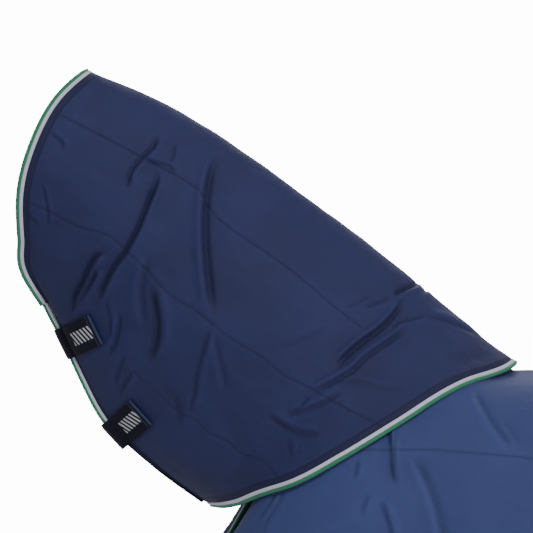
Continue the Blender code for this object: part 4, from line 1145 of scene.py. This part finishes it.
def chest_straps(name, row):
    """Strap from the off side through the hook's eye, and the ring's short tab on the near side."""
    lift = 0.0012 + WEB / 2
    over_edge = np.array((0.0035, 0.0015, 0, 0, 0, 0))[:, None]
    raised = CHEST_GRID[:6, row] + CHEST_OUT[:6, row] * (lift + over_edge)
    off = raised[3::-1]
    near = raised * MIRROR
    near_out = CHEST_OUT[:6, row] * MIRROR
    place = Place(near[1] * 0.35 + near[2] * 0.65 + unit(near_out[1] + near_out[2]) * (HOOK_HEIGHT - lift),
                  near[2] - near[1], unit(near_out[1] + near_out[2]))
    eye = round_bar(place, EYE, -1, 0.012)
    rising = unit(CHEST_GRID[:6, row - 1] - CHEST_GRID[:6, row + 1])
    across = [*rising[:4][::-1], rising[0] * MIRROR, *[place.across] * len(eye)]
    strap(f"{name}_webbing", [*off, near[0], *eye[::-1]], across, "rug", f"{name}_strap")
    tab = round_bar(place, RING_BAR, 1, 0.010)
    far = [near[i] - near_out[i] * 0.0009 for i in (4, 5)]
    high = [near[i] + near_out[i] * (WEB + 0.0003) for i in (5, 4)]
    ends = [rising[i] * MIRROR for i in (5, 4)]
    across = [*ends, *[place.across] * len(tab), *ends[::-1]]
    strap(f"{name}_tab_webbing", [far[1], far[0], *tab, high[1], high[0]], across, "rug", f"{name}_ring_tab")


def flap_width(places):
    """Half width of the smooth neck cover at (x, z) places on its flaps: the mean of the 6 nearest points.

    Each is weighted by one over its distance squared.
    """
    flap = NECK_BASE[::2, len(NECK_V) // 2:].reshape(-1, 3)
    distance = ((places[..., None, :] - flap[:, ::2]) ** 2).sum(-1)
    nearest = np.argpartition(distance, 6, axis=-1)[..., :6]
    weight = 1 / (np.take_along_axis(distance, nearest, -1) + 1e-7)
    return (flap[nearest, 1] * weight).sum(-1) / weight.sum(-1)


def tab_sewn(number):
    """(x, z) of the line that a tab is sewn along on the off flap, where it turns when it is peeled."""
    joints = frame["record"]["behaviour"]["joints"]
    place = next(joint for joint in joints if joint["name"] == f"throat_tab_{number}_peel")["pos_m"]
    return np.array((place[0], place[2]))


def throat_tab(number):
    """Closure tab lying on both flaps: square to the throat edge, over it, and on to the off side."""
    edge = NECK_BASE[:, -1, ::2]
    sewn = tab_sewn(number)
    foot = edge[int(np.linalg.norm(edge - sewn, axis=-1).argmin())]
    up_flap = unit(sewn - foot)
    sideways = np.array((up_flap[1], -up_flap[0]))
    shares = np.linspace(-TAB_WIDTH / 2, TAB_WIDTH / 2, 17)
    sides = []
    for side, reach in ((NEAR, TAB_REACH), (OFF, np.linalg.norm(sewn - foot))):
        far = np.linspace(reach, -0.005, 16)
        plane = foot + shares[:, None, None] * sideways + far[None, :, None] * up_flap
        width = flap_width(plane) + (TAB_LIFT if side == NEAR else TAB_LIFT + 0.0016)
        sides.append(np.stack((plane[..., 0], side * width, plane[..., 1]), -1))
    path = np.concatenate((sides[0], sides[1][:, ::-1]), axis=1)
    reach = np.concatenate(((0,), np.cumsum(np.linalg.norm(np.diff(path[8], axis=0), axis=1))))
    at = np.linspace(0, reach[-1], 110)
    face = np.moveaxis(line_through(reach, np.moveaxis(path, 1, 0), at), 0, 1)
    out = grid_out(face)
    out = out * np.sign((out[:, :20] * (0, -1, 0)).sum())
    selvedge = 1 - 0.7 * ease(0.8, 1, np.abs(shares) / shares[-1])[:, None, None]
    upper, lower = face + out * WEB / 2 * selvedge, face - out * WEB / 2 * selvedge
    ring = np.concatenate((upper, lower[::-1]), axis=0)
    rounded = np.concatenate((shares, shares[::-1])) + TAB_WIDTH / 2
    end = np.minimum(at, at[-1] - at)
    uv = np.stack(np.broadcast_arrays(at[None], rounded[:, None]), -1).reshape(-1, 2)
    count, steps = ring.shape[:2]
    index = np.arange(count * steps).reshape(count, steps)
    there = np.roll(index, -1, 0)
    faces = [np.stack((index[:, :-1], index[:, 1:], there[:, 1:], there[:, :-1]), -1).reshape(-1, 4)]
    faces += [index[:, 0][None], index[:, -1][None, ::-1]]
    marks = {"end": np.broadcast_to(end, (count, steps))}
    name = f"throat_tab_{number}"
    obj = new_piece(f"{name}_webbing", ring.reshape(-1, 3), faces, TAB_LOOK, uv, marks)
    work = bmesh.new()
    work.from_mesh(obj.data)
    bmesh.ops.recalc_face_normals(work, faces=work.faces)
    work.to_mesh(obj.data)
    work.free()
    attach(obj, name)
    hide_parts(name)


TAB_REACH = 0.060            # up the near flap
TAB_LIFT = 0.0068


def under_belly(start, end, drop, count=17):
    """A strap's middle line between two sewn ends: drop times (4w(1-w))^0.55 below the straight line."""
    w = np.linspace(0, 1, count)[:, None]
    path = np.asarray(start) * (1 - w) + np.asarray(end) * w
    path[:, 2] -= drop * (4 * w * (1 - w))[:, 0] ** 0.55
    return path


def sewn_end(x, side, clear=0.0048):
    """Two points against the inside of the lining, where a strap is sewn on."""
    inside = CLOTH + clear + WEB / 2
    rows = [rug_side(x, t) for t in (0.80, 0.86)]
    return np.array([(x, side * (float(y) - inside), float(z)) for y, z in rows])


def turning(across, count, over=4):
    """Strap widths that start flat against the lining and turn into the strap's own plane."""
    share = np.clip(np.arange(count) / over, 0, 1)[:, None]
    level = np.array((np.sign(across[0]), 0, 0))
    return unit(level * (1 - share) + across * share)


def surcingle(name, off_x, near_x, drop):
    """Crossed belly strap in two parts, the long one to its T-hook and the short one to its plate."""
    off_end, near_end = sewn_end(off_x, OFF), sewn_end(near_x, NEAR)
    path = under_belly(off_end[1], near_end[1], drop)
    way = unit((near_end[1] - off_end[1]) * np.array((1, 1, 0)))
    across = np.cross((0, 0, 1), way)
    cut = 12
    pull = path[cut + 1] - path[cut - 1]
    place = Place(path[cut], pull, np.cross(pull, across))
    long = [off_end[0], *path[:cut - 2], *round_bar(place, EYE, -1, 0.012)[::-1]]
    strap(f"{name}_webbing", long, turning(across, len(long)), name, f"{name}_strap")
    plate = Place(place.point(0, 0, PLATE_RISE), place.along, place.up)
    short = [near_end[0], *path[:cut + 2:-1], *round_bar(plate, RING_BAR, 1, 0.012)]
    strap(f"{name}_plate_webbing", short, turning(across, len(short)), name, f"{name}_plate_strap")


def leg_straps(word, side):
    """Loop inside the thigh, sewn in front and hooked behind to a ring on its own tab."""
    front_end = sewn_end(0.74 * BACK_LENGTH, side, 0.0108)
    rear_end = sewn_end(0.95 * BACK_LENGTH, side, 0.0108)
    low = (front_end[1] + rear_end[1]) / 2 + np.array((0, -side * 0.125, -0.17))
    ring_bar = rear_end[1] + np.array((-0.004, -side * 0.022, -0.050))
    pull = ring_bar - low
    flat = unit(np.cross(pull, (0, side, 0)))
    place = Place(ring_bar - unit(pull) * (RING_BAR + 0.010), pull, np.cross(flat, pull))
    eye = round_bar(place, EYE, -1, 0.012)
    w = np.linspace(0, 1, 9)[:, None]
    bottom = low + np.array((-0.04, 0, -0.05))
    sag = front_end[1] * (1 - w) ** 2 + bottom * 2 * w * (1 - w) + eye[0] * w ** 2
    path = [front_end[0], *sag[:-1], *eye]
    strap(f"leg_{word}_webbing", path, turning(place.across, len(path)), f"leg_{word}", f"leg_{word}_strap")
    tab = [rear_end[0], rear_end[1], *round_bar(place, RING_BAR, 1, 0.012)]
    turned = turning(place.across, len(tab), 2)
    strap(f"leg_{word}_tab_webbing", tab, turned, f"leg_{word}", f"leg_{word}_ring_tab")


# ------------------------------------------------------------- tail flap, pads and tapes

FLAP_HALF_WIDTH = 0.15
FLAP_THICK = 0.006
FLAP_ROOT_X = 0.955 * BACK_LENGTH


def flap_surface(rows=80, columns=81):
    """Underside of the tail flap: it follows the rug to its rear edge and then falls over the tail."""
    share = np.linspace(-1, 1, columns)
    y = share * FLAP_HALF_WIDTH
    table = np.linspace(0, 0.6, 61)
    section = line_through(SECTION_PLACES, SECTION_ACROSS, table)
    place = np.interp(np.abs(y) / rug_half_width(BACK_LENGTH), section, table)
    lean = BACK_LENGTH * line_through((0, 0.3, 0.6, 1), (0, 0.022, 0.036, 0), place)
    on_rug = np.array((0, 0.5, 1)) * (BACK_LENGTH - FLAP_ROOT_X)
    z_rug = np.stack([rug_side(FLAP_ROOT_X + far, place)[1] for far in on_rug])
    x_rug = FLAP_ROOT_X + on_rug[:, None] * (1 + lean[None] / on_rug[-1])
    past = np.array((0.030, 0.055, 0.074, 0.084, 0.086))[:, None]
    drop = np.array((0.016, 0.060, 0.16, 0.27, 0.385))[:, None]
    x = np.concatenate((x_rug, BACK_LENGTH + lean[None] + past))
    z = np.concatenate((z_rug, z_rug[-1:] - drop)) + 0.0060
    coarse = np.stack((x, np.broadcast_to(y, x.shape), z), -1)
    steps = np.linalg.norm(np.diff(coarse[:, columns // 2], axis=0), axis=1)
    reach = np.concatenate(((0,), np.cumsum(steps)))
    return line_through(reach, coarse, np.linspace(0, reach[-1], rows))


def follow_flap(obj):
    """Bakes the piece's placement into its mesh."""
    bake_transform(obj)


def tail_flap():
    """Two-faced flap with soft waves near its free end, bound on three sides."""
    lower = flap_surface()
    rows, columns = lower.shape[:2]
    out = unit(np.cross(np.gradient(lower, axis=0), np.gradient(lower, axis=1)))
    fall = np.linspace(0, 1, rows)[:, None] ** 2
    wave = 0.0045 * fall * np.sin(2 * pi * lower[..., 1] / 0.125 + 0.6)
    lower = lower + out * (wave + np.abs(rumple(lower, 0.09, 0.0008, 40)) * ease(0, 0.3, fall))[..., None]
    upper = lower + out * FLAP_THICK
    faces = two_faced(rows, columns)
    down, over = cut_places(lower)
    uv = np.tile(np.stack((down, over), -1).reshape(-1, 2), (2, 1))
    far = np.full(2 * rows * columns, 0.5)
    off = np.minimum(np.minimum(over, over[:, -1:] - over), down[-1] - down)
    nearest = np.where(down[-1] - down <= off, over, down)
    marks = {"crest": np.zeros(2 * rows * columns), "seam_off": far, "seam_along": far,
             "border": np.tile(off.ravel(), 2) + 0.002, "border_along": np.tile(nearest.ravel(), 2)}
    both = np.concatenate((upper, lower)).reshape(-1, 3)
    flap = new_piece("tail_flap_cloth", both, faces, RUG_LOOK, uv, marks)
    follow_flap(flap)
    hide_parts("tail_flap")
    middle = lower + out * FLAP_THICK / 2
    edges = (("off", middle[:, -1], out[:, -1], middle[:, -3]),
             ("near", middle[:, 0], out[:, 0], middle[:, 2]),
             ("hem", middle[-1], out[-1], middle[-3]))
    for word, line, way, inner in edges:
        edge = edge_frame(line + way * 0.0022, way, inner)
        braid(f"tail_flap_braid_{word}", edge, "tail_flap", f"tail_flap_binding_{word}")


def fleece_pad():
    """Fleece strip under the spine: a crowned section between its two faces, with a tufted lower face."""
    s_from, s_to = FRONT_SHARE + 0.033, FRONT_SHARE + 0.265
    s, t = np.meshgrid(np.linspace(s_from, s_to, 120), np.linspace(0, 0.043, 16), indexing="ij")
    top = rug_surface(s, t)
    top = top - grid_out(top) * (CLOTH + 0.0008)
    top = np.concatenate((top[:, :0:-1] * MIRROR, top), axis=1)
    rows, columns = top.shape[:2]
    edge = np.abs(np.linspace(-1, 1, columns))[None, :]
    end = np.abs(np.linspace(-1, 1, rows))[:, None]
    thick = 0.0070 * np.sqrt(np.clip(1 - edge ** 6, 0, 1)) * np.sqrt(np.clip(1 - end ** 30, 0, 1)) + 0.0005
    lower = top - np.array((0, 0, 1)) * (thick + rumple(top, 0.012, 0.0004, 60) * (thick > 0.003))[..., None]
    faces = two_faced(rows, columns)
    pad = new_piece("fleece_pad", np.concatenate((top, lower)).reshape(-1, 3), faces, FLEECE_LOOK)
    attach(pad, "rug")
    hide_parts("withers_pad")


def crest_tape():
    """Flat tape along the inside of the crest."""
    line = NECK_BASE[12:-12:4, 0] - grid_out(NECK_BASE)[12:-12:4, 0] * (CLOTH + 0.0035)
    across = np.tile((0.0, 1.0, 0.0), (len(line), 1))
    sizes = {"width": 0.016, "spacing": 0.006, "thick": 0.0015}
    tape = strap("crest_tape", line, across, "neck_cover", "neck_crest_tape", **sizes)


# ------------------------------------------------------------- studio

def camera():
    """Level with the neck, square to its near side, through a long lens."""
    lens, away, tilt = 150, 4.0625, radians(2.0)
    target = np.array((-0.562, -0.08, 0.216))
    data = bpy.data.cameras.new("camera")
    data.lens = lens
    data.sensor_width = 36
    data.clip_end = 60
    obj = bpy.data.objects.new("camera", data)
    obj.location = target - away * np.array((0, cos(tilt), -sin(tilt)))
    obj.rotation_euler = (pi / 2 - tilt, 0, 0)
    bpy.context.scene.collection.objects.link(obj)
    bpy.context.scene.camera = obj


def soft_light(name, place, aim, size, power):
    """A round area light at a place, turned to its aim."""
    data = bpy.data.lights.new(name, "AREA")
    data.shape = "DISK"
    data.size = size
    data.energy = power
    obj = bpy.data.objects.new(name, data)
    obj.location = place
    obj.rotation_euler = (Vector(aim) - Vector(place)).to_track_quat("-Z", "Y").to_euler()
    bpy.context.scene.collection.objects.link(obj)


WORLD_LIGHT = 0.55         # the surround's strength as a light
WORLD_SEEN = 14.0          # and as the camera sees it


def studio():
    """Pale floor just under the hem, a white surround, and three broad soft lights."""
    low = CAD_BOX[0][2] - 0.004
    places = np.array([(x, y, low) for x in (-3.2, 3.6) for y in (-3.6, 2.3)])
    finish = Finish("studio_floor", Roughness=0.9)
    shade = finish.mix(finish.noise(0.6, 2), (0.86, 0.86, 0.86), (0.90, 0.90, 0.90))
    floor = new_piece("studio_floor", places, [np.array([(0, 2, 3, 1)])], finish.made(Base_Color=shade))
    world = bpy.data.worlds.new("studio")
    world.use_nodes = True
    tree = world.node_tree
    seen = tree.nodes.new("ShaderNodeLightPath")
    strength = tree.nodes.new("ShaderNodeMapRange")
    strength.inputs["To Min"].default_value = WORLD_LIGHT
    strength.inputs["To Max"].default_value = WORLD_SEEN
    tree.links.new(seen.outputs["Is Camera Ray"], strength.inputs["Value"])
    surround = tree.nodes["Background"]
    surround.inputs["Color"].default_value = (1, 1, 1, 1)
    tree.links.new(strength.outputs["Result"], surround.inputs["Strength"])
    bpy.context.scene.world = world
    soft_light("key", (0.4, -3.5, 3.2), (-0.4, 0, 0.1), 1.6, 125)
    soft_light("fill", (2.8, -3.2, 1.4), (-0.2, 0, 0.0), 2.6, 45)
    soft_light("back", (0.6, 3.6, 2.8), (0.2, 0, 0.0), 2.6, 60)


# ------------------------------------------------------------- making the rug

camera()
fleece_pad()
rug_near, rug_off = [rug_half(side, word) for side, word in SIDES]
rug_edges(rug_near, rug_off)
neck_near, neck_off = [neck_half(side, word) for side, word in SIDES]
neck_edges(neck_near, neck_off)
crest_tape()
for tab_number in (1, 2):
    throat_tab(tab_number)
for strap_word, strap_row in (("upper", 8), ("lower", 10)):
    chest_straps(f"chest_{strap_word}", strap_row)
surcingle("surcingle_front", 0.16 * BACK_LENGTH, 0.40 * BACK_LENGTH, SURCINGLE_DROP)
surcingle("surcingle_rear", 0.40 * BACK_LENGTH, 0.16 * BACK_LENGTH, SURCINGLE_DROP + 0.02)
for strap_side, strap_word in SIDES:
    leg_straps(strap_word, strap_side)
tail_flap()
for node in NODES.values():
    if node.name.endswith(("hook", "gate", "ring", "plate")):
        node.data.materials.clear()
        node.data.materials.append(STEEL_LOOK)
studio()
